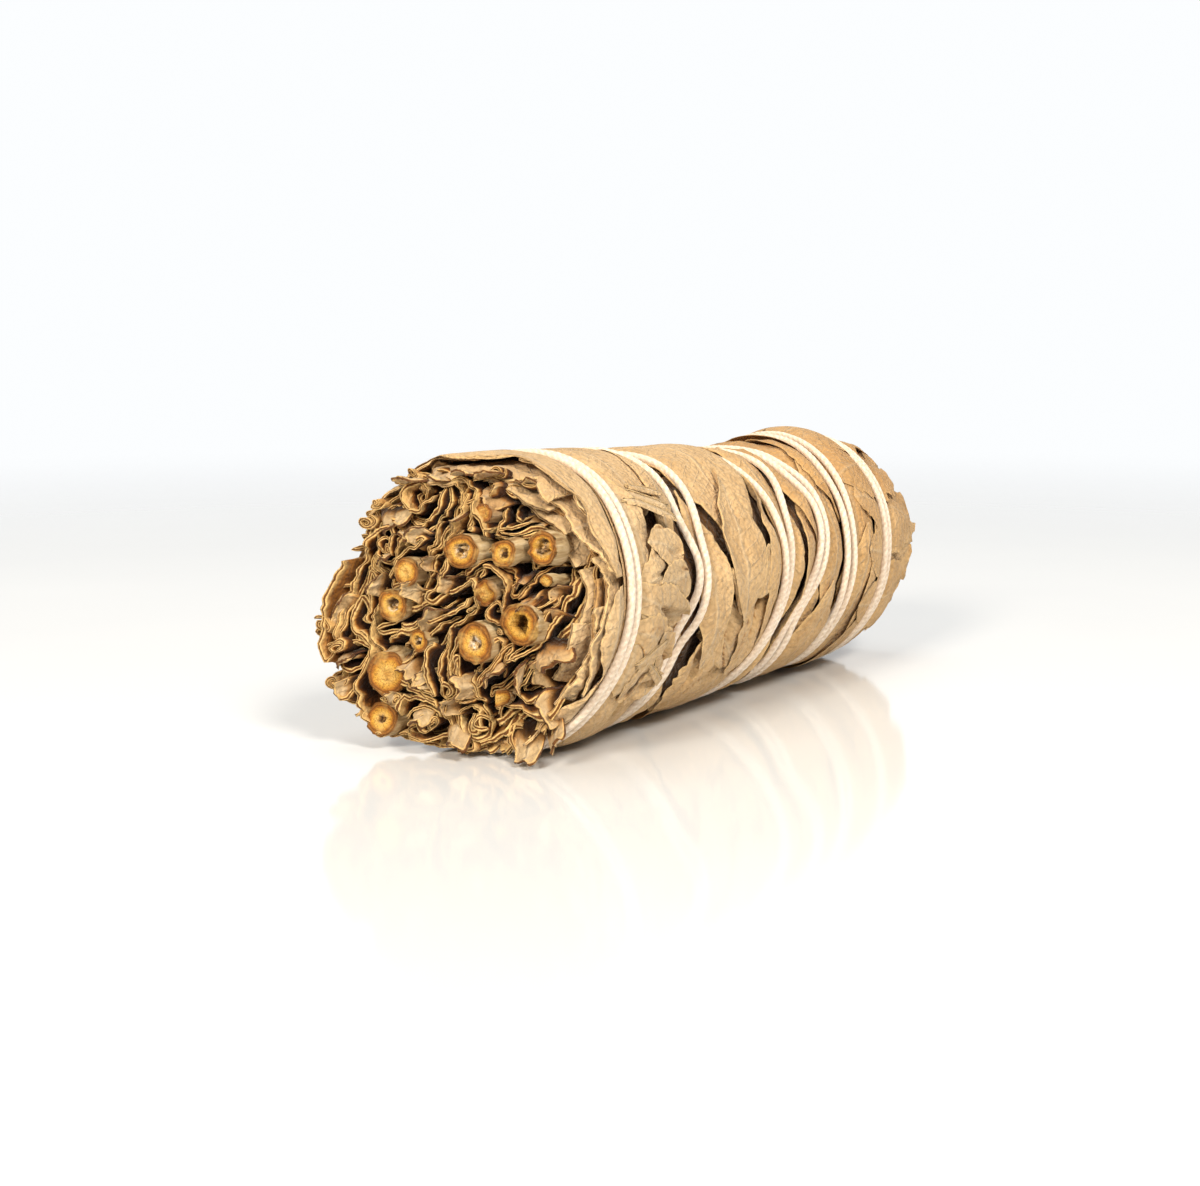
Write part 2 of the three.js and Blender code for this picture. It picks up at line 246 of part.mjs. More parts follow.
// Stations of one lengthwise line of the leaf's outside: [a, outside radius].
function outsideLine(phi, zone, start, end) {
  const ties = crossings(phi), floor = troughR(phi);
  const bulge = (room) => Math.min(BULGE_R, floor + 0.55 * Math.max(0.2, room));
  const line = [];
  const tie = (k) => {
    const [lo, hi] = ties[k];
    const before = (k ? ties[k - 1][1] : -6) + TROUGH_EDGE, after = (k < TURNS - 1 ? ties[k + 1][0] : 120) - TROUGH_EDGE;
    const left = lo - TROUGH_EDGE - before, right = after - hi - TROUGH_EDGE;
    const riseL = Math.min(TROUGH_RISE, 0.42 * left), riseR = Math.min(TROUGH_RISE, 0.42 * right);
    line.push([lo - TROUGH_EDGE - riseL, bulge(left)], [lo - TROUGH_EDGE, floor], [hi + TROUGH_EDGE, floor], [hi + TROUGH_EDGE + riseR, bulge(right)]);
  };
  const bay = (k) => {
    const lo = ties[k][1] + TROUGH_EDGE, hi = ties[k + 1][0] - TROUGH_EDGE;
    return [(lo + hi) / 2, bulge(hi - lo)];
  };
  const parting = bay(2);
  if (zone === 0) {
    line.push([start, BULGE_R - 1.1]);
    tie(0); line.push(bay(0)); tie(1); line.push(bay(1)); tie(2);
    line.push([parting[0] - WRAP_GAP / 2, parting[1]]);
  } else {
    line.push([parting[0] + WRAP_GAP / 2, parting[1]]);
    tie(3); line.push(bay(3)); tie(4); line.push(bay(4)); tie(5);
    line.push([end, WRAP_INNER_R + 0.9]);
  }
  return line;
}

// One wrap leaf: a closed shell between two angles, made of an outside and an inside grid.
function wrapLeaf(phis, zone, index) {
  const rows = phis.map((phi, j) => {
    const t = j / (phis.length - 1);
    const start = 0.4 + 0.5 * vary(index, 6) + 0.35 * vary(index * 7 + j, 7);
    const tip = 90.5 + 1.6 * vary(index, 8) + 5.2 * Math.sin(Math.PI * t) ** 1.5;
    return outsideLine(phi, zone, start, tip).map(([a, r]) => {
      const out = round(a, phi, r), inn = round(a, phi, WRAP_INNER_R);
      out.z = Math.max(0, out.z);
      return [out, inn];
    });
  });
  const positions = [];
  const quad = (p, q, r, s) => positions.push(p, q, r, p, r, s);
  const [n, m] = [rows.length, rows[0].length];
  for (let i = 0; i < n - 1; i++)
    for (let j = 0; j < m - 1; j++) {
      quad(rows[i][j][0], rows[i][j + 1][0], rows[i + 1][j + 1][0], rows[i + 1][j][0]);
      quad(rows[i][j][1], rows[i + 1][j][1], rows[i + 1][j + 1][1], rows[i][j + 1][1]);
    }
  for (let j = 0; j < m - 1; j++) {
    quad(rows[0][j][0], rows[0][j][1], rows[0][j + 1][1], rows[0][j + 1][0]);
    quad(rows[n - 1][j][0], rows[n - 1][j + 1][0], rows[n - 1][j + 1][1], rows[n - 1][j][1]);
  }
  for (let i = 0; i < n - 1; i++) {
    quad(rows[i][0][0], rows[i + 1][0][0], rows[i + 1][0][1], rows[i][0][1]);
    quad(rows[i][m - 1][0], rows[i][m - 1][1], rows[i + 1][m - 1][1], rows[i + 1][m - 1][0]);
  }
  return facingOut(new THREE.BufferGeometry().setFromPoints(positions));
}

const HALF_GAP = THREE.MathUtils.radToDeg(WRAP_GAP / 2 / WRAP_INNER_R);
const SECTORS = [
  [-170, -155, -140, -125, -110],
  [-110, -100, -80, -65, -50],
  [-50, -35, -20, -5, 10],
  [10, 25, 40, 55, 70],
  [70, 85, 100, 115, 130],
  [130, 145, 160, 175, 190],
];
[0, 1].forEach((zone) =>
  SECTORS.forEach((columns, k) => {
    const phis = [...columns];
    phis[0] += HALF_GAP;
    phis[phis.length - 1] -= HALF_GAP;
    const index = zone * SECTORS.length + k;
    add("wrap_leaf_" + two(index + 1), wrapLeaf(phis, zone, index), LEAF[(index * 2 + zone) % LEAF.length], 0.95);
  }),
);

// ---------------------------------------------------------------- string
// One length: up the first strand to its loop end behind the cut face, and back along the second.
const strand = (column, from, to, step) => {
  const points = [];
  const n = Math.round(Math.abs(to - from) / step);
  for (let i = 0; i <= n; i++) {
    const t = lerp(from, to, i / n);
    points.push(round(windingAt(t, column), t, stringR(t)));
  }
  return points;
};
const loopA = windingAt(WIND_START, 1), loopB = windingAt(WIND_START, 2);
const loop = [0.25, 0.5, 0.75].map((t) => {
  const phi = WIND_START - 5.2 * Math.sin(Math.PI * t);
  return round(lerp(loopA, loopB, (1 - Math.cos(Math.PI * t)) / 2), phi, stringR(phi));
});
const route = new THREE.CatmullRomCurve3(
  [...strand(1, WIND_END, WIND_START, 15), ...loop, ...strand(2, WIND_START, WIND_END, 15)],
  false,
  "centripetal",
);
route.arcLengthDivisions = 4000;
const ring = (d, sides) => {
  const s = new THREE.Shape();
  for (let i = 0; i < sides; i++) {
    const t = (2 * Math.PI * i) / sides;
    s[i ? "lineTo" : "moveTo"]((d / 2) * Math.cos(t), (d / 2) * Math.sin(t));
  }
  return s;
};
add("tie_string", facingOut(new THREE.ExtrudeGeometry(ring(STRING_D, 6), { steps: 300, extrudePath: route, bevelEnabled: false })), COTTON, 0.95);

// ---------------------------------------------------------------- knot
// Both strands end in one knot, with two short tails lying on the leaves.
const wasm = await Module();
wasm.setup();
function solid(geometry) {
  const g = facingOut(geometry), p = g.getAttribute("position");
  const index = new Map(), verts = [], tris = [];
  for (let i = 0; i < p.count; i++) {
    const key = [p.getX(i), p.getY(i), p.getZ(i)].map((c) => Math.round(c * 1e4)).join();
    if (!index.has(key)) { index.set(key, verts.length / 3); verts.push(p.getX(i), p.getY(i), p.getZ(i)); }
    tris.push(index.get(key));
  }
  const kept = [];
  for (let i = 0; i < tris.length; i += 3)
    if (tris[i] !== tris[i + 1] && tris[i + 1] !== tris[i + 2] && tris[i] !== tris[i + 2]) kept.push(tris[i], tris[i + 1], tris[i + 2]);
  return new wasm.Manifold(new wasm.Mesh({ numProp: 3, vertProperties: new Float32Array(verts), triVerts: new Uint32Array(kept) }));
}
const knotPhi = WIND_END + 7.0;
const knotA = (windingAt(WIND_END, 1) + windingAt(WIND_END, 2)) / 2;
const knotR = BULGE_R + KNOT_R * 0.72;
const knotAt = round(knotA, knotPhi, knotR);
const lump = mapped(new THREE.SphereGeometry(KNOT_R, 9, 6), (p) =>
  knotAt.clone().add(new THREE.Vector3(p.x * 1.05, p.z * 0.85, p.y * 1.1)));
const tails = [[7, 2.4], [11, -3.2]].map(([turn, along]) => {
  const points = [];
  for (let i = 0; i <= 6; i++) {
    const t = i / 6;
    const a = knotA + along * t * (0.6 + 0.4 * t), phi = knotPhi + (turn + 14) * t;
    points.push(i ? round(a, phi, Math.max(knotR - 0.7 * t * KNOT_R, BULGE_R + 0.95)) : knotAt.clone());
  }
  const curve = new THREE.CatmullRomCurve3(points);
  return new THREE.ExtrudeGeometry(ring(STRING_D * 0.95, 6), { steps: Math.round(TAIL_LENGTH), extrudePath: curve, bevelEnabled: false });
});
const knot = tails.reduce((s, t) => s.add(solid(t)), solid(lump)).getMesh();
const knotGeometry = new THREE.BufferGeometry()
  .setAttribute("position", new THREE.BufferAttribute(Float32Array.from(knot.vertProperties), 3))
  .setIndex(new THREE.BufferAttribute(Uint32Array.from(knot.triVerts), 1));
add("string_knot", facingOut(knotGeometry), COTTON, 0.95);

// ---------------------------------------------------------------- placing
// The origin is under the middle of the whole box, on the resting surface.
const sage_bunch = new THREE.Group();
sage_bunch.name = "sage_bunch";
sage_bunch.add(bunch);
const box = new THREE.Box3().setFromObject(bunch, true);
bunch.position.set(-(box.min.x + box.max.x) / 2, -(box.min.y + box.max.y) / 2, -box.min.z);

export default sage_bunch;
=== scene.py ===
import math

import bpy
import numpy as np
from mathutils import Matrix, Vector


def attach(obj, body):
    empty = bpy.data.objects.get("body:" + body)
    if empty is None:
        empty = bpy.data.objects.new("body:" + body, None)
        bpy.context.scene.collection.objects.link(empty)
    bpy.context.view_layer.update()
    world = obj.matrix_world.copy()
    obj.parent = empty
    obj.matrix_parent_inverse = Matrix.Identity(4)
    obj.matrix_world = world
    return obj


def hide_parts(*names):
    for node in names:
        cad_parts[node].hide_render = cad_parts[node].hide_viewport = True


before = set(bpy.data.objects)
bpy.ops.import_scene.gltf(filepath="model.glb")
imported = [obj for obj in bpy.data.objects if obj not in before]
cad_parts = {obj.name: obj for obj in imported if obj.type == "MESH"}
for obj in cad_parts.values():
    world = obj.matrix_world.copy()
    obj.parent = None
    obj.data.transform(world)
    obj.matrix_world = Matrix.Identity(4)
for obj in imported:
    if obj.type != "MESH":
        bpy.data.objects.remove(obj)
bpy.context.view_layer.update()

# A tied bunch of dried sage, lying on its side. Lengths below are millimetres in the bunch's own
# terms: a = distance behind the cut face, phi = degrees round the bunch (0 viewer's side, 90 top),
# r = radius at the cut end's scale. place() turns them into the shared frame.
OFF_X, OFF_Y = -47.9035, -0.0643
AXIS_Z, AXIS_Z_MID, AXIS_Z_TIP = 18.2, 17.3, 17.8
NARROW_A, TIP_A, NARROW_S, TIP_S = 80.0, 98.0, 0.945, 0.84
CORE_R = 16.9
STRING_D = 1.1
WIND_START, WIND_END, SEAM = -148.0, 1955.0, -170.0
WINDING = [
    (-170, 4.6, 6.4), (-150, 3.9, 7.0), (-120, 4.1, 6.3), (-90, 4.2, 5.8), (-40, 5.2, 6.7),
    (0, 8.4, 9.8), (30, 10.6, 12.0), (55, 12.4, 13.8), (90, 13.4, 14.9), (180, 14.6, 16.2),
    (270, 17.4, 19.0), (320, 20.6, 22.1), (360, 25.4, 26.9), (410, 28.2, 32.6), (450, 27.6, 33.0),
    (540, 31.0, 35.0), (630, 38.2, 40.0), (678, 43.2, 44.7), (720, 48.0, 49.6), (770, 50.2, 56.6),
    (810, 50.0, 57.4), (900, 50.8, 56.2), (990, 52.0, 54.2), (1052, 53.4, 55.0), (1080, 58.4, 60.0),
    (1117, 62.6, 64.2), (1150, 62.2, 64.0), (1170, 61.9, 63.7), (1260, 63.2, 65.3), (1350, 65.2, 67.4),
    (1440, 68.2, 70.4), (1490, 71.6, 74.0), (1530, 74.0, 76.2), (1620, 76.2, 78.2), (1710, 78.2, 80.0),
    (1800, 81.2, 82.8), (1840, 84.2, 85.8), (1890, 84.8, 86.4), (1960, 85.0, 86.5), (1990, 85.0, 86.5),
]
# Cut stems: u, v, radius, pith hole share, how far it stands out of the leaves, slant across u and v, kind
STEMS = [
    (0.8, 6.4, 2.15, 0.52, 0.7, 0.20, 0.00, "ring"),
    (7.4, 6.6, 1.75, 0.40, 1.2, 0.10, 0.10, "gold"),
    (12.0, 7.4, 1.9, 0.60, 1.8, 0.35, 0.00, "cup"),
    (-5.9, 4.0, 1.65, 0.0, 1.3, 0.15, 0.05, "solid"),
    (-7.8, -0.1, 1.75, 0.45, 0.7, 0.25, 0.00, "ring"),
    (-3.9, -3.5, 1.15, 0.45, 0.5, 0.00, 0.00, "ring"),
    (-7.4, -7.0, 2.05, 0.0, 1.2, 0.55, -0.1, "solid"),
    (-8.9, -12.1, 1.85, 0.30, -0.7, 0.20, 0.30, "gold"),
    (4.1, -4.1, 2.4, 0.42, 1.0, 0.10, 0.05, "pith"),
    (10.6, -2.6, 2.65, 0.46, 0.8, 0.12, -0.05, "hole"),
    (3.6, 11.2, 1.1, 0.0, 0.2, 0.30, 0.00, "tan"),
    (4.5, 1.4, 1.7, 0.0, 0.2, 0.00, 0.00, "crushed"),
    (13.2, 2.9, 0.8, 0.0, 0.3, 0.20, 0.00, "green"),
    (7.6, -10.9, 0.9, 0.0, 0.4, 0.30, 0.20, "split"),
]
# Which core leaf solid each folded leaf of the cut face stands for.
LEAF_NODE = ["core_leaf_01", "core_leaf_02", "core_leaf_03", "core_leaf_04", "core_leaf_05", "core_leaf_06", "core_leaf_07", "core_leaf_08", "core_leaf_09", "core_leaf_10", "core_leaf_11", "core_leaf_12", "core_leaf_13", "core_leaf_14", "core_leaf_15", "core_leaf_16", "core_leaf_17", "core_leaf_18", "core_leaf_19", "core_leaf_20", "core_leaf_21", "core_leaf_16", "core_leaf_22", "core_leaf_23", "core_leaf_24", "core_leaf_05", "core_leaf_25", "core_leaf_26", "core_leaf_27", "core_leaf_27", "core_leaf_28", "core_leaf_29", "core_leaf_30", "core_leaf_31", "core_leaf_32", "core_leaf_10"]
# Midline of each leaf across the cut face, u and v in turn, in hundredths of a millimetre.
LEAF_LINES = [
    [-928,717,-963,772,-1022,792,-1085,769,-1121,717,-1121,651,-1087,599,-1026,574,-963,581,-908,617,-875,672,-851,730,-846,792,-866,851,-913,892,-973,903,-1033,885,-1086,854,-1136,818,-1169,769,-1193,711,-1191,652,-1169,593,-1143,541,-1103,492,-1054,462,-992,457,-938,478,-893,522,-856,568,-830,622,-803,681,-781,739,-774,801,-788,862,-818,914,-865,956,-921,974,-984,976,-1039,954,-1094,922],
    [-560,1257,-562,1320,-611,1360,-675,1358,-726,1321,-740,1258,-717,1199,-672,1153,-611,1140,-551,1162,-509,1208,-490,1268,-492,1331,-521,1386,-574,1420,-634,1437,-695,1425,-751,1396,-792,1348,-809,1288,-802,1225,-778,1168,-737,1120,-687,1083,-626,1068,-564,1076,-508,1105,-467,1153,-439,1209,-422,1270,-420,1333],
    [-289,1455,-280,1395,-281,1332,-286,1272,-299,1210,-322,1154,-353,1099,-386,1046,-429,1000,-474,959,-529,929,-584,906,-647,904,-703,922,-758,953,-803,994,-844,1042,-877,1097,-909,1151,-936,1209,-947,1271,-932,1212,-947,1271,-889,1264,-867,1205,-844,1158,-808,1105,-780,1064,-736,1021,-698,993,-638,975,-592,977,-534,1000,-496,1026,-450,1068,-421,1105,-390,1160,-369,1207,-354,1268,-351,1320,-350,1383,-356,1437,-341,1495],
    [-1003,1227,-1050,1188,-1096,1145,-1139,1102,-1183,1055,-1225,1006,-1184,1054,-1127,1042,-1076,1079,-1030,1117,-979,1152,-953,1093,-915,1043,-950,1095,-995,1054,-1035,1025,-1090,992,-1136,974,-1166,919,-1177,874,-1214,822,-1237,780,-1263,723,-1264,676,-1248,613,-1234,570,-1208,512,-1173,477,-1132,428,-1100,389,-1059,341,-1025,303,-976,261,-932,238,-870,230,-820,222,-757,221,-707,227,-644,234,-593,243,-537,272,-501,308,-464,362,-427,401,-465,442,-470,374,-465,436,-460,491,-450,553,-437,607,-420,667,-401,719,-380,778,-362,834,-334,890,-305,941,-270,994,-245,1048],
    [-1242,887,-1278,836,-1306,779,-1334,723,-1363,668,-1382,606,-1395,545,-1403,481,-1414,419,-1425,356,-1435,294,-1442,232,-1448,170,-1453,109,-1456,46,-1458,-14,-1455,-77,-1452,-136,-1446,-199,-1443,-258,-1439,-321,-1440,-380,-1466,-437,-1444,-375,-1482,-422,-1500,-359,-1505,-297,-1511,-234,-1516,-171,-1520,-109,-1522,-46,-1522,18,-1519,81,-1515,144,-1509,206,-1501,268,-1490,330,-1478,391,-1465,452,-1457,515,-1458,576,-1447,632,-1427,691,-1402,741,-1371,796,-1341,846,-1306,899,-1269,950],
    [-961,331,-929,380,-888,427,-847,468,-808,517,-770,562,-710,596,-655,614,-601,650,-553,685,-502,723,-455,761,-436,822,-460,760,-457,821,-515,794,-565,758,-615,721,-664,683,-726,671,-766,625,-733,673,-712,732,-670,768,-619,805,-574,834,-517,862,-470,889,-415,920,-375,954,-337,1003,-310,1050,-277,1106,-250,1151,-229,1210,-219,1261,-213,1324,-215,1374,-222,1436,-231,1487,-277,1529,-322,1556,-388,1540,-440,1525,-500,1506,-556,1486],
    [-18,896,-55,849,-94,799,-117,744,-131,684,-150,628,-165,566,-166,507,-173,445,-184,388,-207,327,-244,282,-277,228,-313,185,-349,135,-379,89,-415,38,-453,1,-505,-34,-555,-57,-613,-83,-668,-100,-617,-66,-668,-101,-659,-39,-605,-12,-550,19,-502,51,-457,95,-423,140,-395,196,-380,250,-369,313,-366,369,-367,434,-369,490,-366,553,-361,609,-348,671,-332,724,-311,783,-291,833,-261,888,-233,935,-201,991,-188,1044,-186,1108,-173,1165,-160,1226,-154,1285,-149,1349,-155,1409,-164,1469],
    [-471,-699,-513,-652,-452,-638,-404,-613,-354,-575,-312,-539,-267,-495,-228,-455,-183,-411,-142,-373,-95,-331,-48,-300,3,-263,52,-239,105,-200,156,-195,217,-178,257,-151,307,-113,316,-64,297,-4,280,42,257,106,255,157,270,218,298,264,288,321,236,279,287,313,233,280,181,247,128,216,73,186,18,157,-38,129,-94,103,-151,76,-209,52,-266,30,-330,19,-308,75,-346,19,-314,74,-279,118,-244,170,-214,216,-176,267,-142,309,-109,363,-89,411,-72,472,-69,526,-102,577],
    [452,458,395,437,341,405,285,384,228,351,176,319,122,288,70,258,14,229,-39,201,-94,172,-152,148,-207,118,-152,145,-150,205,-108,245,-71,296,-33,338,15,380,65,408,120,436,177,454,236,480,283,520,337,553,391,585,445,617,500,649,554,680],
    [215,58,190,5,141,-34,95,-68,42,-101,-9,-129,-64,-160,-117,-187,-175,-211,-231,-229,-292,-246,-350,-259,-412,-271,-471,-277,-535,-278,-593,-308,-637,-350,-691,-378,-748,-406,-804,-430,-865,-446,-857,-384,-917,-388,-860,-380,-801,-359,-747,-335,-690,-307,-637,-278,-580,-249,-519,-228,-458,-214,-397,-202,-336,-189,-276,-174,-216,-154,-158,-129,-101,-103,-45,-73,10,-42,60,-6,107,36,149,80,192,126],
    [63,328,117,360,172,389,228,417,285,448,337,476,391,507,443,527,506,519,560,506,619,484,666,453,726,435,778,415,836,388,882,358,932,319,974,279,950,221,901,185,876,127,848,69,903,99,951,133,1000,173,1037,219,1075,269,1110,316,1148,367,1185,413,1230,457,1274,497,1333,519,1383,554,1372,497,1335,457,1288,415,1247,380,1210,328,1177,284,1138,234,1104,191,1064,143,1023,106,975,65,930,33,873,5,830,-29],
    [621,-159,680,-141,707,-85,696,-23,644,13,584,-3,531,-39,503,-94,515,-156,564,-193,615,-231,677,-227,730,-192,758,-137,776,-76,765,-11,781,48,791,111,791,174,781,236,758,295,723,345,674,384,618,405,558,421,503,409,444,386,393,357,354,311],
    [1478,428,1487,368,1496,306,1498,248,1494,185,1487,128,1475,66,1462,10,1447,-51,1431,-107,1412,-166,1394,-222,1377,-282,1358,-339,1334,-397,1306,-450,1273,-501,1234,-538,1179,-569,1130,-589,1071,-611,1020,-633,962,-658,910,-682,865,-653,827,-703,868,-656,909,-615,966,-588,1019,-562,1078,-541,1130,-517,1185,-487,1229,-452,1270,-405,1298,-354,1316,-294,1323,-239,1339,-179,1353,-127,1371,-67,1385,-16,1400,45,1410,97,1421,159,1427,211,1435,273,1430,326,1420,388,1412,439,1444,496,1445,549,1427,608],
    [1650,-79,1644,-139,1635,-202,1625,-261,1612,-325,1592,-386,1559,-436,1516,-490,1483,-546,1451,-595,1402,-634,1351,-659,1292,-682,1236,-698,1176,-713,1118,-729,1058,-747,1000,-768,941,-793,886,-817,834,-852,787,-890,738,-928,688,-961,634,-994,581,-1023,526,-1053,467,-1068,503,-1018,440,-1023,491,-990,540,-964,595,-933,643,-906,697,-871,740,-836,790,-797,839,-771,895,-748,954,-727,1012,-701,1070,-681,1129,-660,1188,-643,1248,-624,1304,-602,1361,-577,1412,-543,1454,-493,1489,-440,1522,-386,1547,-331,1569,-273],
    [398,-792,443,-748,488,-704,532,-659,578,-616,622,-571,654,-516,691,-466,754,-473,799,-430,760,-479,723,-530,685,-580,646,-632,604,-680,558,-725,515,-770,471,-815,426,-860,381,-903,423,-950,371,-911,398,-966,445,-936,493,-895,533,-861,573,-812,609,-773,654,-728,686,-687,723,-635,752,-591,792,-542,838,-517,897,-499,951,-520,895,-547,841,-588,798,-637,759,-692,726,-744,684,-792,639,-835],
    [1156,-903,1106,-873,1043,-878,988,-903,939,-941,923,-999,956,-1052,1017,-1061,1077,-1043,1126,-1004,1174,-965,1225,-920,1265,-877,1270,-818,1223,-776,1165,-782,1105,-798,1047,-812,988,-834,933,-863,882,-900,855,-953,855,-1015,879,-1069,921,-1114,974,-1135,1036,-1128,1093,-1111,1142,-1072,1187,-1031,1229,-984],
    [190,-260,161,-317,141,-376,121,-436,100,-495,87,-557,77,-620,72,-683,72,-745,74,-807,77,-870,81,-932,85,-995,86,-1058,92,-1120,89,-1057,136,-1098,155,-1038,154,-975,151,-913,148,-850,143,-788,140,-725,139,-663,144,-600,198,-571,166,-517,190,-572,205,-634,204,-694,207,-757,212,-816,222,-878,235,-934,259,-992,290,-1043,332,-1087,382,-1126,437,-1155,493,-1135,429,-1128,397,-1070,358,-1023,326,-967,300,-909,287,-847,277,-785,270,-722],
    [222,-1253,190,-1309,200,-1371,249,-1414,311,-1423,366,-1389,384,-1329,364,-1267,318,-1224,264,-1191,203,-1177,143,-1190,100,-1235,92,-1295,109,-1356,141,-1407,188,-1448,237,-1485,299,-1492,357,-1477,413,-1447,447,-1398,466,-1338,457,-1279,423,-1226,375,-1189,321,-1153,267,-1119,207,-1106],
    [-16,-1419,-33,-1362,-38,-1299,-40,-1240,-39,-1177,-41,-1118,-39,-1056,-43,-994,-52,-933,-58,-873,-62,-810,-64,-749,-64,-686,-60,-626,-51,-563,-40,-503,-23,-443,-6,-384,18,-328,77,-308,120,-263,90,-314,70,-374,50,-429,31,-489,18,-544,8,-606,4,-663,3,-726,5,-783,9,-846,14,-904,19,-966,22,-1024,23,-1088,25,-1146,25,-1209,26,-1266,30,-1329,44,-1384,78,-1435,124,-1476,171,-1514],
    [-228,-1227,-280,-1190,-342,-1189,-391,-1233,-405,-1294,-376,-1354,-323,-1388,-257,-1391,-196,-1374,-142,-1342,-116,-1284,-128,-1224,-170,-1177,-224,-1148,-281,-1120,-344,-1103,-407,-1104,-468,-1123,-519,-1159,-554,-1211,-577,-1270,-575,-1332,-549,-1389,-505,-1432,-446,-1455,-387,-1468,-324,-1471,-265,-1460,-204,-1443],
    [1055,-1241,1012,-1277,964,-1315,918,-1349,866,-1385,820,-1414,765,-1446,717,-1472,661,-1500,611,-1523,553,-1547,502,-1566,442,-1586,388,-1602,327,-1617,273,-1629,211,-1640,157,-1645,94,-1637,43,-1616,-22,-1603,-82,-1597,-144,-1586,-205,-1582,-143,-1581,-100,-1535,-37,-1542,25,-1553,88,-1566,150,-1577,215,-1570,277,-1559,340,-1549,400,-1532,458,-1510,516,-1488,574,-1462,631,-1435,687,-1407,743,-1377,798,-1347,854,-1317,906,-1280],
    [845,-1250,790,-1276,734,-1305,680,-1333,624,-1361,570,-1389,515,-1417,572,-1389,561,-1327,603,-1281,646,-1234,688,-1188,735,-1230,793,-1206,853,-1180,916,-1186,862,-1155,897,-1204,957,-1214,1010,-1195,1076,-1179,1128,-1172,1172,-1129,1208,-1090,1250,-1042,1285,-999,1322,-950,1352,-908,1387,-855,1414,-811,1446,-756,1470,-710,1498,-654,1519,-606,1542,-549,1562,-496],
    [-1154,83,-1121,32,-1099,-27,-1080,-83,-1062,-144,-1043,-200,-1032,-262,-1016,-317,-994,-376,-972,-429,-930,-476,-889,-514,-836,-548,-787,-578,-731,-607,-688,-645,-651,-696,-611,-739,-567,-784,-525,-825,-473,-859,-425,-891,-371,-924,-321,-952,-266,-982,-216,-1012,-163,-1047,-130,-1094,-104,-1150,-157,-1107,-217,-1082,-274,-1052,-331,-1028,-390,-1004,-447,-980,-473,-1037,-506,-984,-510,-921,-532,-979,-555,-1037,-578,-1096,-601,-1153,-624,-1211],
    [1,-1658,-57,-1658,-120,-1655,-175,-1651,-238,-1643,-291,-1635,-353,-1622,-406,-1610,-466,-1593,-518,-1577,-578,-1555,-629,-1534,-687,-1508,-737,-1483,-683,-1510,-686,-1453,-627,-1463,-574,-1484,-515,-1506,-462,-1524,-400,-1539,-343,-1540,-281,-1529,-225,-1516,-164,-1500,-115,-1469,-53,-1477,6,-1486,65,-1502],
    [-1045,71,-1090,114,-1144,151,-1190,193,-1228,243,-1262,294,-1304,342,-1309,282,-1306,344,-1320,288,-1297,231,-1266,187,-1244,128,-1222,79,-1191,24,-1171,-25,-1151,-85,-1134,-135,-1114,-194,-1164,-225,-1191,-169,-1220,-106,-1239,-46,-1260,19,-1293,74,-1316,140,-1321,79,-1328,25,-1318,-38,-1307,-91,-1286,-150,-1262,-197,-1230,-252,-1193,-291,-1143,-329,-1104,-364,-1059,-409,-1035,-455,-1020,-516,-1019,-568,-1038,-628,-1072,-669,-1101,-725,-1114,-778,-1114,-840,-1113,-895,-1117,-958,-1118,-1014,-1116,-1077,-1108,-1131,-1093,-1192,-1074,-1245,-1029,-1285],
    [-1314,624,-1327,565,-1340,502,-1347,441,-1361,381,-1372,320,-1377,255,-1381,195,-1386,133,-1392,72,-1393,9,-1389,-51,-1383,-114,-1377,-174,-1374,-237,-1372,-297,-1372,-360,-1386,-420,-1409,-478,-1434,-534,-1446,-596,-1474,-649,-1457,-588,-1482,-642,-1504,-579,-1522,-524,-1539,-464,-1552,-406,-1565,-344,-1575,-287,-1583,-225,-1588,-168,-1592,-105,-1593,-49,-1592,14,-1590,71,-1585,134,-1578,190,-1568,252,-1557,310,-1543,371,-1528,428,-1510,487],
    [-1225,-499,-1285,-524,-1315,-579,-1307,-644,-1263,-689,-1198,-696,-1142,-667,-1108,-610,-1089,-551,-1097,-488,-1127,-433,-1178,-397,-1241,-395,-1297,-423,-1337,-471,-1363,-529,-1384,-588,-1402,-652,-1410,-714,-1406,-779,-1390,-840,-1360,-893,-1325,-946,-1275,-976,-1212,-970,-1180,-923,-1181,-861,-1194,-802,-1237,-756],
    [49,-168,-5,-197,-60,-230,-112,-263,-160,-303,-207,-344,-253,-387,-297,-430,-343,-473,-389,-515,-440,-553,-498,-576,-558,-596,-620,-609,-612,-547,-667,-578,-623,-623,-583,-671,-542,-717,-500,-760,-447,-793,-398,-825,-343,-857,-292,-886,-238,-917,-188,-949,-135,-983,-100,-1031,-127,-976,-123,-913,-176,-880,-168,-819,-157,-757,-147,-697,-135,-635,-123,-576,-110,-514,-95,-455,-75,-396],
    [538,1287,498,1333,457,1380,412,1419,364,1460,318,1497,259,1519,215,1481,179,1529,215,1489,264,1449,307,1417,354,1376,395,1342,439,1297,485,1271,539,1224,561,1177,564,1114,557,1062,543,1001,536,951,531,888,544,840,599,809,647,799,706,821,758,826,820,821,872,828,934,839,985,854,1045,875,1093,900,1148,931,1202,944,1144,929,1097,971,1039,948,978,932,917,917,855,904,793,894,730,887,667,879,691,938,628,936,690,946,752,954,815,962,876,977,937,991,998,1008],
    [1371,928,1314,930,1264,970,1223,1010,1165,1034,1116,1062,1061,1092,1011,1118,957,1151,910,1181,857,1216,812,1248,761,1286,719,1322,674,1365,647,1420,703,1395,645,1423,706,1407,752,1377,805,1343,849,1314,900,1277,945,1247,997,1212,1041,1182,1098,1156,1146,1131,1200,1100,1248,1075,1291,1031,1327,987],
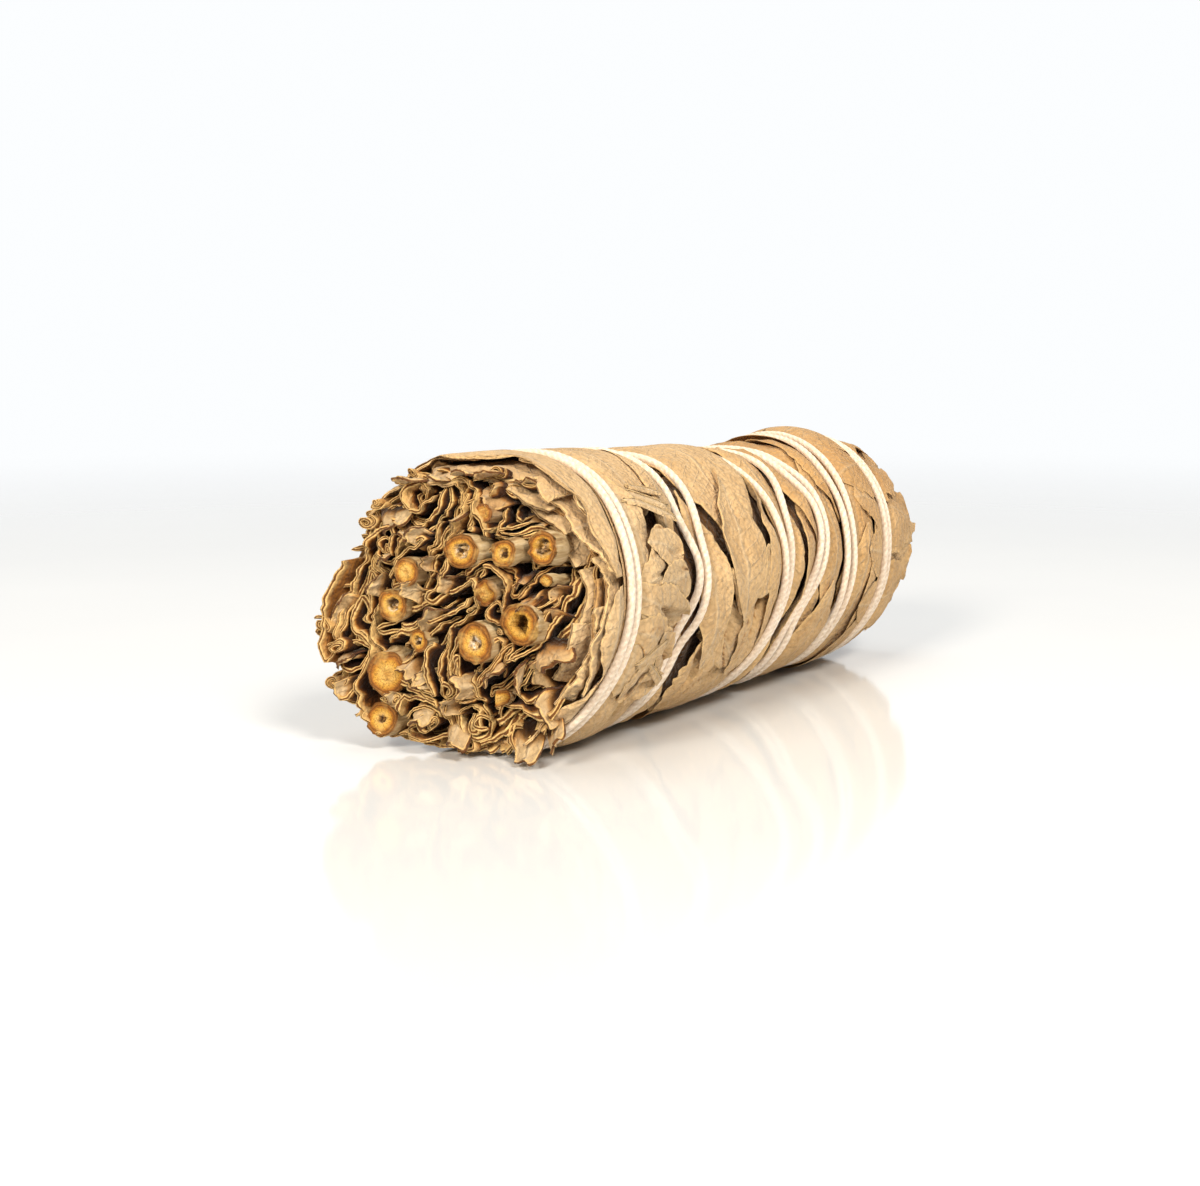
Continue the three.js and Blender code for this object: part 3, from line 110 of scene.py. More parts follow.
    [388,799,364,858,343,917,323,976,304,1036,281,1095,275,1159,261,1223,244,1283,219,1345,187,1398,152,1453,116,1506,76,1557,32,1597,74,1557,120,1596,169,1593,232,1587,281,1581,343,1572,389,1559,441,1524,475,1489,509,1436,526,1388,564,1339,596,1292,625,1238,658,1195,702,1150,734,1112,768,1059,832,1051,777,1022,827,1066,829,1129,795,1178,744,1216,693,1258,654,1305,613,1363,579,1417,583,1480,645,1489,699,1467,759,1441,813,1414,867,1383,920,1352,974,1318,1024,1283,1074,1244],
    [37,1407,48,1351,47,1288,41,1233,31,1170,20,1114,2,1054,-24,1002,-61,950,-97,903,-131,850,-161,795,-183,735,-202,676,-219,615,-232,555,-237,492,-242,432,-252,371,-302,337,-315,277,-302,336,-307,400,-305,459,-302,521,-298,578,-285,639,-269,694,-249,753,-227,806,-197,862,-166,912,-131,964,-93,1010,-65,1068,-48,1126,-35,1187,-26,1245,-19,1308,-18,1364,-25,1427,-31,1481,-65,1531],
    [-132,1060,-117,1116,-104,1177,-93,1233,-86,1295,-84,1351,-89,1414,-97,1470,-130,1526,-164,1572,-226,1575,-180,1536,-154,1585,-96,1591,-33,1585,5,1538,47,1490,85,1447,108,1388,114,1328,111,1264,103,1207,93,1143,84,1086,77,1024,69,967,52,909,87,962,148,977,149,1039,151,1102,153,1165,172,1227,174,1291,190,1231,212,1172,218,1110,232,1048,250,988,269,928,290,868,311,809,335,751],
    [1512,685,1536,630,1559,571,1578,517,1597,456,1611,403,1624,342,1634,290,1643,228,1644,175,1638,112,1628,61,1610,0,1588,-49,1575,-110,1556,-161,1532,-218,1507,-270,1484,-328,1459,-380,1429,-435,1397,-484,1342,-510,1388,-463,1344,-507,1366,-444,1395,-388,1420,-330,1443,-272,1464,-213,1485,-153,1505,-93,1520,-32,1537,30,1549,91,1558,154,1563,217,1562,280,1555,343,1544,405,1530,467,1509,523,1493,584,1473,641,1455,702,1453,759,1438,820,1411,869],
    [-1041,235,-1088,276,-1128,324,-1169,371,-1206,421,-1258,461,-1277,520,-1280,463,-1269,403,-1236,357,-1197,307,-1164,265,-1124,218,-1086,185,-1029,158,-980,149,-917,153,-867,161,-804,153,-753,149,-691,158,-641,168,-578,165,-537,203,-582,160,-622,104,-681,88,-663,30,-608,60,-556,94,-512,137,-472,185,-450,243,-432,300],
    [4,38,-44,-2,-99,-33,-155,-59,-213,-83,-271,-104,-332,-120,-392,-133,-452,-149,-511,-168,-571,-188,-631,-212,-687,-239,-744,-267,-803,-292,-863,-308,-926,-318,-918,-256,-857,-244,-795,-230,-738,-200,-682,-170,-622,-149,-564,-125,-505,-102,-448,-79,-387,-62,-328,-51,-267,-36,-211,-15,-153,9,-97,36],
]

# ------------------------------------------------------------------ small helpers
def smooth(t):
    t = np.clip(t, 0.0, 1.0)
    return t * t * (3 - 2 * t)


def _hash(ix, iy, iz, seed):
    h = (ix * 374761393 + iy * 668265263 + iz * 1440662683 + seed * 974634777) & 0xFFFFFFFF
    h = ((h ^ (h >> 13)) * 1274126177) & 0xFFFFFFFF
    h = ((h ^ (h >> 15)) * 2246822519) & 0xFFFFFFFF
    return ((h ^ (h >> 16)) & 0xFFFFFF) / float(0x7FFFFF) - 1.0


def noise(x, y, z=0.0, seed=0):
    """Smooth value noise, about -1 to 1."""
    x, y, z = np.broadcast_arrays(np.asarray(x, float), np.asarray(y, float), np.asarray(z, float))
    fx, fy, fz = np.floor(x), np.floor(y), np.floor(z)
    ix, iy, iz = fx.astype(np.int64), fy.astype(np.int64), fz.astype(np.int64)
    tx, ty, tz = smooth(x - fx), smooth(y - fy), smooth(z - fz)
    out = 0.0
    for dx in (0, 1):
        wx = tx if dx else 1 - tx
        for dy in (0, 1):
            wy = ty if dy else 1 - ty
            for dz in (0, 1):
                wz = tz if dz else 1 - tz
                out = out + wx * wy * wz * _hash(ix + dx, iy + dy, iz + dz, seed)
    return out


def fbm(x, y, z=0.0, seed=0, octaves=3):
    out, amp, tot = 0.0, 1.0, 0.0
    for o in range(octaves):
        out = out + amp * noise(x * 2**o, y * 2**o, np.asarray(z) * 2**o, seed + 17 * o)
        tot += amp
        amp *= 0.5
    return out / tot


def ridged(x, y, z=0.0, seed=0):
    return 1.0 - 2.0 * np.abs(noise(x, y, z, seed))


def blur1(p, sigma):
    """Blur along the first axis, ends held."""
    n = max(1, int(3 * sigma + 0.5))
    k = np.exp(-0.5 * (np.arange(-n, n + 1) / sigma) ** 2)
    k /= k.sum()
    q = np.concatenate([np.repeat(p[:1], n, 0), p, np.repeat(p[-1:], n, 0)])
    return sum(k[i] * q[i : i + len(p)] for i in range(2 * n + 1))


def resample(p, step):
    s = np.concatenate([[0], np.cumsum(np.linalg.norm(np.diff(p, axis=0), axis=1))])
    n = max(4, int(round(s[-1] / step)) + 1)
    q = np.linspace(0, s[-1], n)
    return np.stack([np.interp(q, s, p[:, i]) for i in range(p.shape[1])], -1), q


# ------------------------------------------------------------------ the bunch's form
def scale_at(a):
    a = np.asarray(a, float)
    return np.where(a < NARROW_A, 1 + (NARROW_S - 1) * a / NARROW_A,
                    NARROW_S + (TIP_S - NARROW_S) * (a - NARROW_A) / (TIP_A - NARROW_A))


def axis_at(a):
    a = np.asarray(a, float)
    return np.where(a < NARROW_A, AXIS_Z + (AXIS_Z_MID - AXIS_Z) * a / NARROW_A,
                    AXIS_Z_MID + (AXIS_Z_TIP - AXIS_Z_MID) * (a - NARROW_A) / (TIP_A - NARROW_A))


def _winding_table():
    w = np.array(WINDING, float)
    t = np.arange(SEAM, 1991.0, 1.0)
    out = []
    for c in (1, 2):
        x, y = w[:, 0], w[:, c]
        m = np.zeros(len(x))
        m[1:-1] = (y[2:] - y[:-2]) / (x[2:] - x[:-2])
        m[0] = (y[1] - y[0]) / (x[1] - x[0])
        m[-1] = (y[-1] - y[-2]) / (x[-1] - x[-2])
        i = np.clip(np.searchsorted(x, t, side="right") - 1, 0, len(x) - 2)
        h = x[i + 1] - x[i]
        u = (t - x[i]) / h
        u2, u3 = u * u, u**3
        out.append((2 * u3 - 3 * u2 + 1) * y[i] + (u3 - 2 * u2 + u) * h * m[i]
                   + (-2 * u3 + 3 * u2) * y[i + 1] + (u3 - u2) * h * m[i + 1])
    return t, out[0], out[1]


W_T, W_A, W_B = _winding_table()


def wound(theta, strand):
    return np.interp(theta, W_T, W_A if strand == 0 else W_B)


PINCH = 1.15


def pinch_at(a, phi):
    """How far the string presses the leaves in at a point."""
    a, phi = np.broadcast_arrays(np.asarray(a, float), np.asarray(phi, float))
    base = (phi - SEAM) % 360.0 + SEAM
    best = np.zeros(a.shape)
    for k in range(6):
        th = base + 360.0 * k
        on = smooth((th - WIND_START + 14) / 14) * smooth((WIND_END + 14 - th) / 14)
        for s in (0, 1):
            d = (a - wound(th, s)) / 1.9
            best = np.maximum(best, on * np.exp(-d * d))
    return PINCH * best


def flatten(a, phi, r):
    """Presses what lies underneath onto the resting surface."""
    down = -np.sin(np.radians(phi))
    lim = np.where(down > 0.3, (axis_at(a) - 0.03) / (scale_at(a) * np.maximum(down, 0.3)), 99.0)
    soft = 0.9
    t = lim - soft
    return np.where(r > t, t + soft * (1 - np.exp(-np.maximum(r - t, 0) / soft)), r)


def window(x, lo, hi, soft):
    return smooth((x - lo + soft) / soft) * smooth((hi + soft - x) / soft)


def spread(phi):
    """1 low on the far side of the cut end, where the leaf ends have come loose and stand out."""
    return window(np.asarray(phi, float) % 360.0, 196, 222, 34)


def place(a, phi, r, pinch=True):
    a, phi, r = np.broadcast_arrays(np.asarray(a, float), np.asarray(phi, float), np.asarray(r, float))
    # the bunch swells on top towards the tip
    p = (phi + 180.0) % 360.0 - 180.0
    r = r + 1.7 * np.exp(-(((a - 83.0) / 12.0) ** 2) - ((p - 84.0) / 44.0) ** 2) * np.clip(r / 18.0, 0, 1.1) ** 2
    if pinch:
        r = r - pinch_at(a, phi) * np.clip(r / 18.0, 0, 1.1) ** 3
    r = flatten(a, phi, r)
    s, t = scale_at(a), np.radians(phi)
    return np.stack([a + OFF_X, -np.cos(t) * r * s + OFF_Y, axis_at(a) + np.sin(t) * r * s], -1)


def face_at(u, v):
    """How far behind the middle of the face the slanted, domed cut lies."""
    r = np.hypot(u, v)
    return (0.14 * u + 0.008 * r * r - 1.2 + 2.4 * smooth((u + v - 14) / 9)
            - 2.8 * spread(np.degrees(np.arctan2(v, u))) * smooth((r - 10.5) / 5.0))


# ------------------------------------------------------------------ meshes
def make(name, verts, faces, material, nodes=(), attrs=None, smooth_shade=True):
    verts = np.asarray(verts, float) * 0.001
    tri = [f for f in faces]
    f0 = np.array([(f[0], f[1], f[2]) for f in tri])
    f1 = np.array([(f[0], f[2], f[3]) for f in tri if len(f) == 4]) if any(len(f) == 4 for f in tri) else np.zeros((0, 3), int)
    allf = np.concatenate([f0, f1])
    p, q, s = verts[allf[:, 0]], verts[allf[:, 1]], verts[allf[:, 2]]
    c = verts.mean(0)
    if np.einsum("ij,ij->i", p - c, np.cross(q - c, s - c)).sum() < 0:
        tri = [tuple(reversed(f)) for f in tri]
    me = bpy.data.meshes.new(name)
    me.from_pydata(verts.tolist(), [], [tuple(int(i) for i in f) for f in tri])
    me.polygons.foreach_set("use_smooth", np.full(len(me.polygons), bool(smooth_shade)))
    for key, val in (attrs or {}).items():
        at = me.attributes.new(key, "FLOAT", "POINT")
        at.data.foreach_set("value", np.asarray(val, np.float32))
    me.update()
    me.materials.append(material)
    ob = bpy.data.objects.new(name, me)
    bpy.context.scene.collection.objects.link(ob)
    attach(ob, "root")
    if nodes:
        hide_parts(*nodes)
    return ob


def sheet_mesh(top, bottom, mid, edge_top=0.0, edge_mid=1.0):
    """A closed sheet from a top and a bottom grid of points, with one row round its rim between them."""
    I, J = top.shape[:2]
    n = I * J
    T = np.arange(n).reshape(I, J)
    B = T + n
    loop = [(i, 0) for i in range(I)] + [(I - 1, j) for j in range(1, J)] + [(i, J - 1) for i in range(I - 2, -1, -1)] + [(0, j) for j in range(J - 2, 0, -1)]
    M = {ij: 2 * n + k for k, ij in enumerate(loop)}
    faces = []
    faces += np.stack([T[:-1, :-1], T[1:, :-1], T[1:, 1:], T[:-1, 1:]], -1).reshape(-1, 4).tolist()
    faces += np.stack([B[:-1, :-1], B[:-1, 1:], B[1:, 1:], B[1:, :-1]], -1).reshape(-1, 4).tolist()
    for k in range(len(loop)):
        b0, b1 = loop[k], loop[(k + 1) % len(loop)]
        faces.append((T[b1], T[b0], M[b0], M[b1]))
        faces.append((M[b1], M[b0], B[b0], B[b1]))
    mids = np.array([mid[i, j] for i, j in loop])
    verts = np.concatenate([top.reshape(-1, 3), bottom.reshape(-1, 3), mids])
    edge = np.zeros((I, J))
    edge[0, :] = edge[-1, :] = edge_top
    edge[:, 0] = edge[:, -1] = edge_top
    e = np.concatenate([edge.ravel(), edge.ravel(), np.full(len(loop), edge_mid)])
    return verts, faces, e


# ------------------------------------------------------------------ materials
def new_material(name):
    m = bpy.data.materials.new(name)
    m.use_nodes = True
    nt = m.node_tree
    for nd in list(nt.nodes):
        nt.nodes.remove(nd)
    out = nt.nodes.new("ShaderNodeOutputMaterial")
    bsdf = nt.nodes.new("ShaderNodeBsdfPrincipled")
    nt.links.new(bsdf.outputs[0], out.inputs[0])
    return m, nt, bsdf


def node(nt, kind, **kw):
    nd = nt.nodes.new(kind)
    for k, v in kw.items():
        if k in nd.inputs.keys() and not hasattr(nd, k):
            nd.inputs[k].default_value = v
        else:
            setattr(nd, k, v)
    return nd


def noise_node(nt, vec, scale, detail=4.0, rough=0.55):
    nd = nt.nodes.new("ShaderNodeTexNoise")
    nd.inputs["Scale"].default_value = scale
    nd.inputs["Detail"].default_value = detail
    nd.inputs["Roughness"].default_value = rough
    nt.links.new(vec, nd.inputs["Vector"])
    return nd


def ramp(nt, fac, stops, interp="LINEAR"):
    nd = nt.nodes.new("ShaderNodeValToRGB")
    cr = nd.color_ramp
    cr.interpolation = interp
    while len(cr.elements) > len(stops):
        cr.elements.remove(cr.elements[-1])
    while len(cr.elements) < len(stops):
        cr.elements.new(0.5)
    for el, (pos, col) in zip(cr.elements, stops):
        el.position = pos
        el.color = (*col, 1.0)
    nt.links.new(fac, nd.inputs["Fac"])
    return nd


def mix(nt, fac, a, b, mode="MIX"):
    nd = nt.nodes.new("ShaderNodeMix")
    nd.data_type = "RGBA"
    nd.blend_type = mode
    nd.clamp_factor = True
    for sock, val in ((nd.inputs[0], fac), (nd.inputs[6], a), (nd.inputs[7], b)):
        if isinstance(val, (int, float)):
            sock.default_value = val
        elif isinstance(val, tuple):
            sock.default_value = (*val, 1.0)
        else:
            nt.links.new(val, sock)
    return nd.outputs[2]


def mathn(nt, op, a, b=None, c=None):
    nd = nt.nodes.new("ShaderNodeMath")
    nd.operation = op
    for sock, val in zip(nd.inputs, (a, b, c)):
        if val is None:
            continue
        if isinstance(val, (int, float)):
            sock.default_value = val
        else:
            nt.links.new(val, sock)
    return nd.outputs[0]


def attr(nt, name):
    nd = nt.nodes.new("ShaderNodeAttribute")
    nd.attribute_name = name
    return nd.outputs["Fac"]


def bump(nt, bsdf, height, strength, distance):
    nd = nt.nodes.new("ShaderNodeBump")
    nd.inputs["Strength"].default_value = strength
    nd.inputs["Distance"].default_value = distance
    nt.links.new(height, nd.inputs["Height"])
    nt.links.new(nd.outputs[0], bsdf.inputs["Normal"])
    return nd


def srgb(r, g, b):
    f = lambda c: ((c / 255 + 0.055) / 1.055) ** 2.4 if c > 10 else c / 255 / 12.92
    return (f(r), f(g), f(b))


def leaf_material(name, light, mid, dark, hair, pale, gold, cut, sheen, painted_shade_colours):
    m, nt, bs = new_material(name)
    tc = nt.nodes.new("ShaderNodeTexCoord")
    obj = tc.outputs["Object"]
    n1 = noise_node(nt, obj, 170.0, 5.0, 0.6)
    n2 = noise_node(nt, obj, 900.0, 4.0, 0.65)
    n3 = noise_node(nt, obj, 55.0, 3.0, 0.5)
    base = ramp(nt, n1.outputs["Fac"], [(0.30, dark), (0.48, mid), (0.66, light)]).outputs[0]
    tint = attr(nt, "tint")
    warm = mix(nt, tint, pale, gold)
    base = mix(nt, 0.52, base, warm)
    base = mix(nt, mathn(nt, "MULTIPLY", n2.outputs["Fac"], 0.34), base, hair)
    # the small pebbles of the leaf skin, with painted shade in the grooves between them
    peb = nt.nodes.new("ShaderNodeTexVoronoi")
    peb.feature = "F1"
    peb.inputs["Scale"].default_value = 1500.0
    peb.inputs["Randomness"].default_value = 1.0
    nt.links.new(obj, peb.inputs["Vector"])
    groove_shade = ramp(nt, peb.outputs["Distance"], [(0.38, (0, 0, 0)), (0.80, (1, 1, 1))]).outputs[0]
    base = mix(nt, mathn(nt, "MULTIPLY", groove_shade, 0.22), base, srgb(118, 86, 48))
    # brown flecks
    fleck = ramp(nt, n3.outputs["Fac"], [(0.60, (0, 0, 0)), (0.72, (1, 1, 1))]).outputs[0]
    base = mix(nt, mathn(nt, "MULTIPLY", fleck, 0.28), base, srgb(142, 106, 62))
    # veins of the leaf, from its own length and width coordinates
    lx, ly = attr(nt, "lx"), mathn(nt, "ABSOLUTE", attr(nt, "ly"))
    rib = mathn(nt, "SUBTRACT", 1.0, mathn(nt, "MINIMUM", mathn(nt, "DIVIDE", ly, 0.42), 1.0))
    run = mathn(nt, "ADD", mathn(nt, "DIVIDE", mathn(nt, "ADD", lx, mathn(nt, "MULTIPLY", ly, 0.8)), 2.3), mathn(nt, "MULTIPLY", n1.outputs["Fac"], 1.3))
    lat = mathn(nt, "ABSOLUTE", mathn(nt, "SUBTRACT", mathn(nt, "FRACT", run), 0.5))
    lat = mathn(nt, "MULTIPLY", mathn(nt, "SUBTRACT", 1.0, mathn(nt, "MINIMUM", mathn(nt, "DIVIDE", lat, 0.09), 1.0)), 0.5)
    vein = mathn(nt, "MAXIMUM", rib, lat)
    base = mix(nt, mathn(nt, "MULTIPLY", vein, 0.30), base, srgb(216, 198, 166))
    # the cut edge: pale skin on both sides of a brown middle
    edge = attr(nt, "edge")
    rim = ramp(nt, edge, [(0.02, (0, 0, 0)), (0.30, (1, 1, 1))]).outputs[0]
    base = mix(nt, mathn(nt, "MULTIPLY", rim, mathn(nt, "SUBTRACT", 0.72, mathn(nt, "MULTIPLY", tint, 0.36))), base, cut)
    frayed = mathn(nt, "ADD", edge, mathn(nt, "MULTIPLY", mathn(nt, "SUBTRACT", n2.outputs["Fac"], 0.5), 0.75))
    core = ramp(nt, frayed, [(0.66, (0, 0, 0)), (0.84, (1, 1, 1))]).outputs[0]
    base = mix(nt, mathn(nt, "MULTIPLY", core, 0.94), base, srgb(92, 46, 12))
    # painted shade: the leaf colour is multiplied down through brown to near-black where the leaves lie in shade
    painted_shade = attr(nt, "painted_shade")
    painted_shade_ramp = ramp(nt, painted_shade, [(0.0, (1, 1, 1)), (0.22, painted_shade_colours[0]), (0.55, painted_shade_colours[1]), (1.0, (0.03, 0.012, 0.003))]).outputs[0]
    base = mix(nt, 1.0, base, painted_shade_ramp, "MULTIPLY")
    nt.links.new(base, bs.inputs["Base Color"])
    bs.inputs["Roughness"].default_value = 0.92
    bs.inputs["Specular IOR Level"].default_value = 0.18
    bs.inputs["Sheen Weight"].default_value = sheen
    bs.inputs["Sheen Roughness"].default_value = 0.45
    bs.inputs["Sheen Tint"].default_value = (1.0, 0.93, 0.82, 1.0)
    felt = noise_node(nt, obj, 3600.0, 3.0, 0.7)
    crinkle = noise_node(nt, obj, 640.0, 6.0, 0.62)
    h = mathn(nt, "ADD", mathn(nt, "MULTIPLY", felt.outputs["Fac"], 0.25), crinkle.outputs["Fac"])
    h = mathn(nt, "ADD", h, mathn(nt, "MULTIPLY", peb.outputs["Distance"], -0.55))
    h = mathn(nt, "ADD", h, mathn(nt, "MULTIPLY", vein, 0.35))
    bump(nt, bs, h, 1.0, 0.00055)
    return m


# the last argument of each leaf material holds the colours of its painted shade
M_CORE = leaf_material("dry_leaf_core", srgb(224, 182, 112), srgb(182, 132, 66), srgb(112, 68, 24), srgb(230, 192, 128),
                       srgb(212, 180, 126), srgb(166, 104, 36), srgb(244, 206, 134), 0.05,
                       ((0.66, 0.46, 0.26), (0.19, 0.10, 0.035)))
M_LOOSE = leaf_material("dry_leaf_loose", srgb(212, 180, 130), srgb(182, 147, 98), srgb(120, 84, 44), srgb(220, 190, 144),
                        srgb(196, 172, 134), srgb(168, 108, 42), srgb(232, 190, 122), 0.10,
                        ((0.70, 0.54, 0.36), (0.20, 0.12, 0.05)))
M_WRAP = leaf_material("dry_leaf_wrap", srgb(214, 182, 134), srgb(192, 157, 108), srgb(140, 104, 58), srgb(222, 193, 150),
                       srgb(200, 175, 140), srgb(208, 147, 62), srgb(236, 198, 136), 0.18,
                       ((0.74, 0.62, 0.48), (0.22, 0.15, 0.09)))


def stem_material():
    m, nt, bs = new_material("sage_stem")
    tc = nt.nodes.new("ShaderNodeTexCoord")
    obj = tc.outputs["Object"]
    rad = attr(nt, "rad")
    mapn = nt.nodes.new("ShaderNodeMapping")
    mapn.inputs["Scale"].default_value = (60.0, 1500.0, 1500.0)
    nt.links.new(obj, mapn.inputs["Vector"])
    streak = noise_node(nt, mapn.outputs[0], 1.0, 4.0, 0.6)
    grain = noise_node(nt, obj, 2400.0, 5.0, 0.7)
    blot = noise_node(nt, obj, 420.0, 3.0, 0.5)
    bark = ramp(nt, streak.outputs["Fac"], [(0.30, srgb(128, 96, 56)), (0.5, srgb(192, 164, 118)), (0.70, srgb(220, 198, 158))]).outputs[0]
    pith = attr(nt, "pith")
    wob = mathn(nt, "ADD", rad, mathn(nt, "MULTIPLY", mathn(nt, "SUBTRACT", blot.outputs["Fac"], 0.5), 0.34))
    wood = ramp(nt, wob, [(0.0, srgb(196, 144, 62)), (0.30, srgb(240, 198, 108)), (0.54, srgb(226, 172, 66)), (0.68, srgb(178, 112, 32)),
                          (0.77, srgb(78, 38, 8)), (0.84, srgb(158, 106, 44)), (0.91, srgb(66, 34, 8)), (0.985, srgb(132, 94, 50))]).outputs[0]
    # fibres that run out from the middle
    vec = nt.nodes.new("ShaderNodeCombineXYZ")
    for sock, key in zip(vec.inputs, ("ca", "sa", "rad")):
        nt.links.new(attr(nt, key), sock)
    fibre = noise_node(nt, vec.outputs[0], 9.0, 4.0, 0.7)
    ray = ramp(nt, fibre.outputs["Fac"], [(0.34, (1, 1, 1)), (0.52, (0, 0, 0))]).outputs[0]
    wood = mix(nt, mathn(nt, "MULTIPLY", ray, 0.62), wood, srgb(142, 84, 22))
    # fine rays and pores of the cut wood
    rays = nt.nodes.new("ShaderNodeTexNoise")
    rays.inputs["Scale"].default_value = 5200.0
    rays.inputs["Detail"].default_value = 3.0
    nt.links.new(obj, rays.inputs["Vector"])
    pore = ramp(nt, rays.outputs["Fac"], [(0.36, (1, 1, 1)), (0.47, (0, 0, 0))]).outputs[0]
    wood = mix(nt, mathn(nt, "MULTIPLY", grain.outputs["Fac"], 0.42), wood, srgb(160, 104, 34))
    wood = mix(nt, mathn(nt, "MULTIPLY", pore, 0.55), wood, srgb(92, 54, 18))
    patch = ramp(nt, blot.outputs["Fac"], [(0.52, (0, 0, 0)), (0.70, (1, 1, 1))]).outputs[0]
    wood = mix(nt, mathn(nt, "MULTIPLY", patch, 0.45), wood, srgb(244, 206, 122))
    fuzz = noise_node(nt, obj, 1500.0, 4.0, 0.65)
    pale = ramp(nt, fuzz.outputs["Fac"], [(0.36, srgb(150, 102, 48)), (0.50, srgb(222, 190, 136)), (0.62, srgb(250, 242, 230))]).outputs[0]
    wood = mix(nt, pith, wood, pale)
    # painted shade: the crevices in the pith and the open hole are painted near-black
    hole = attr(nt, "hole")
    crack_shade = ramp(nt, noise_node(nt, obj, 1050.0, 3.0, 0.6).outputs["Fac"], [(0.42, (1, 1, 1)), (0.54, (0, 0, 0))]).outputs[0]
    open_hole_shade = ramp(nt, hole, [(0.75, (0, 0, 0)), (0.95, (1, 1, 1))]).outputs[0]
    hole_crack_shade = mathn(nt, "MAXIMUM", open_hole_shade, mathn(nt, "MULTIPLY", crack_shade, mathn(nt, "MINIMUM", mathn(nt, "MULTIPLY", hole, 2.2), 0.92)))
    wood = mix(nt, hole_crack_shade, wood, srgb(44, 22, 6))
    isbark = attr(nt, "bark")
    base = mix(nt, isbark, wood, bark)
    tone = attr(nt, "tone")
    base = mix(nt, tone, base, srgb(150, 96, 52))
    nt.links.new(base, bs.inputs["Base Color"])
    bs.inputs["Roughness"].default_value = 0.72
    bs.inputs["Specular IOR Level"].default_value = 0.3
    h = mathn(nt, "ADD", mathn(nt, "MULTIPLY", grain.outputs["Fac"], 0.6), streak.outputs["Fac"])
    bump(nt, bs, h, 0.9, 0.00045)
    return m


M_STEM = stem_material()


def string_material():
    m, nt, bs = new_material("cotton_string")
    tc = nt.nodes.new("ShaderNodeTexCoord")
    obj = tc.outputs["Object"]
    n1 = noise_node(nt, obj, 2200.0, 4.0, 0.7)
    n2 = noise_node(nt, obj, 160.0, 2.0, 0.5)
    ply = attr(nt, "ply")
    base = ramp(nt, n1.outputs["Fac"], [(0.28, srgb(208, 184, 154)), (0.5, srgb(236, 218, 196)), (0.7, srgb(250, 240, 226))]).outputs[0]
    # painted shade in the grooves between the plies
    base = mix(nt, mathn(nt, "MULTIPLY", ply, 0.55), base, srgb(178, 146, 112))
    base = mix(nt, mathn(nt, "MULTIPLY", n2.outputs["Fac"], 0.22), base, srgb(226, 204, 176))
    nt.links.new(base, bs.inputs["Base Color"])
    bs.inputs["Roughness"].default_value = 0.95
    bs.inputs["Specular IOR Level"].default_value = 0.12
    bs.inputs["Sheen Weight"].default_value = 0.4
    bs.inputs["Sheen Roughness"].default_value = 0.6
    fib = noise_node(nt, obj, 3400.0, 3.0, 0.7)
    bump(nt, bs, fib.outputs["Fac"], 0.6, 0.00018)
    return m


M_STRING = string_material()

# ------------------------------------------------------------------ core leaves
def warp(u, v, a):
    """A smooth drift of the whole core, so that leaves bend together without cutting through each other."""
    du, dv = 0.0, 0.0
    for amp, f, fa, sd in ((0.50, 0.16, 0.07, 3), (0.50, 0.42, 0.24, 5), (0.36, 0.95, 0.62, 6), (0.13, 2.0, 0.9, 7)):
        du = du + amp * noise(u * f, v * f, a * fa, sd)
        dv = dv + amp * noise(u * f, v * f, a * fa, sd + 10)
    k = smooth((17.2 - np.hypot(u, v)) / 2.5)
    # the whole core lies a little to the far side and upwards in the wrap
    m = smooth((17.2 - np.hypot(u, v)) / 3.5)
    return u + du * k + m * (-0.85 - 0.11 * u + 0.075 * v), v + dv * k + m * (0.68 + 0.045 * u)


def open_side(phi):
    """1 on the far side and underneath, where no wrapped leaf covers the rim of the cut face."""
    p = np.asarray(phi, float) % 360.0
    return smooth((p - 96) / 30) * smooth((330 - p) / 25)


def core_size(a, phi):
    """The core opens at the cut end where the rim is bare, is drawn in behind it, and leaves room for the crumpled folds."""
    p = (np.asarray(phi, float) + 180.0) % 360.0 - 180.0
    op = open_side(phi)
    front = 1 + 0.075 * op - 0.03 * (1 - op) + 0.125 * spread(phi)
    body = (0.955 - 0.035 * window(a, 5, 12, 3) - 0.125 * window(a, 13, 23, 4) * window(p, -36, 36, 14)
            - 0.070 * window(a, 30, 45, 4) * window(p, -36, 30, 14))
    t = smooth((a - 1.5) / 6.0)
    return front * (1 - t) + body * t


def to_place(u, v, a):
    u, v = warp(u, v, a)
    phi = np.degrees(np.arctan2(v, u))
    return place(a, phi, np.hypot(u, v) * core_size(a, phi))


def hollow(u, v):
    """How far the leaves stand back under the turned-in rim of the wrap."""
    ang, rad = np.degrees(np.arctan2(v, u)), np.hypot(u, v)
    return 3.2 * smooth((rad - 13.0) / 1.7) * window(ang, -30, 64, 14)


DEPTHS = np.array([0, 0.22, 0.6, 1.2, 2.1, 3.3, 5.0, 7.5, 11, 16, 24, 36, 50, 63, 73, 80, 85, 89, 92])


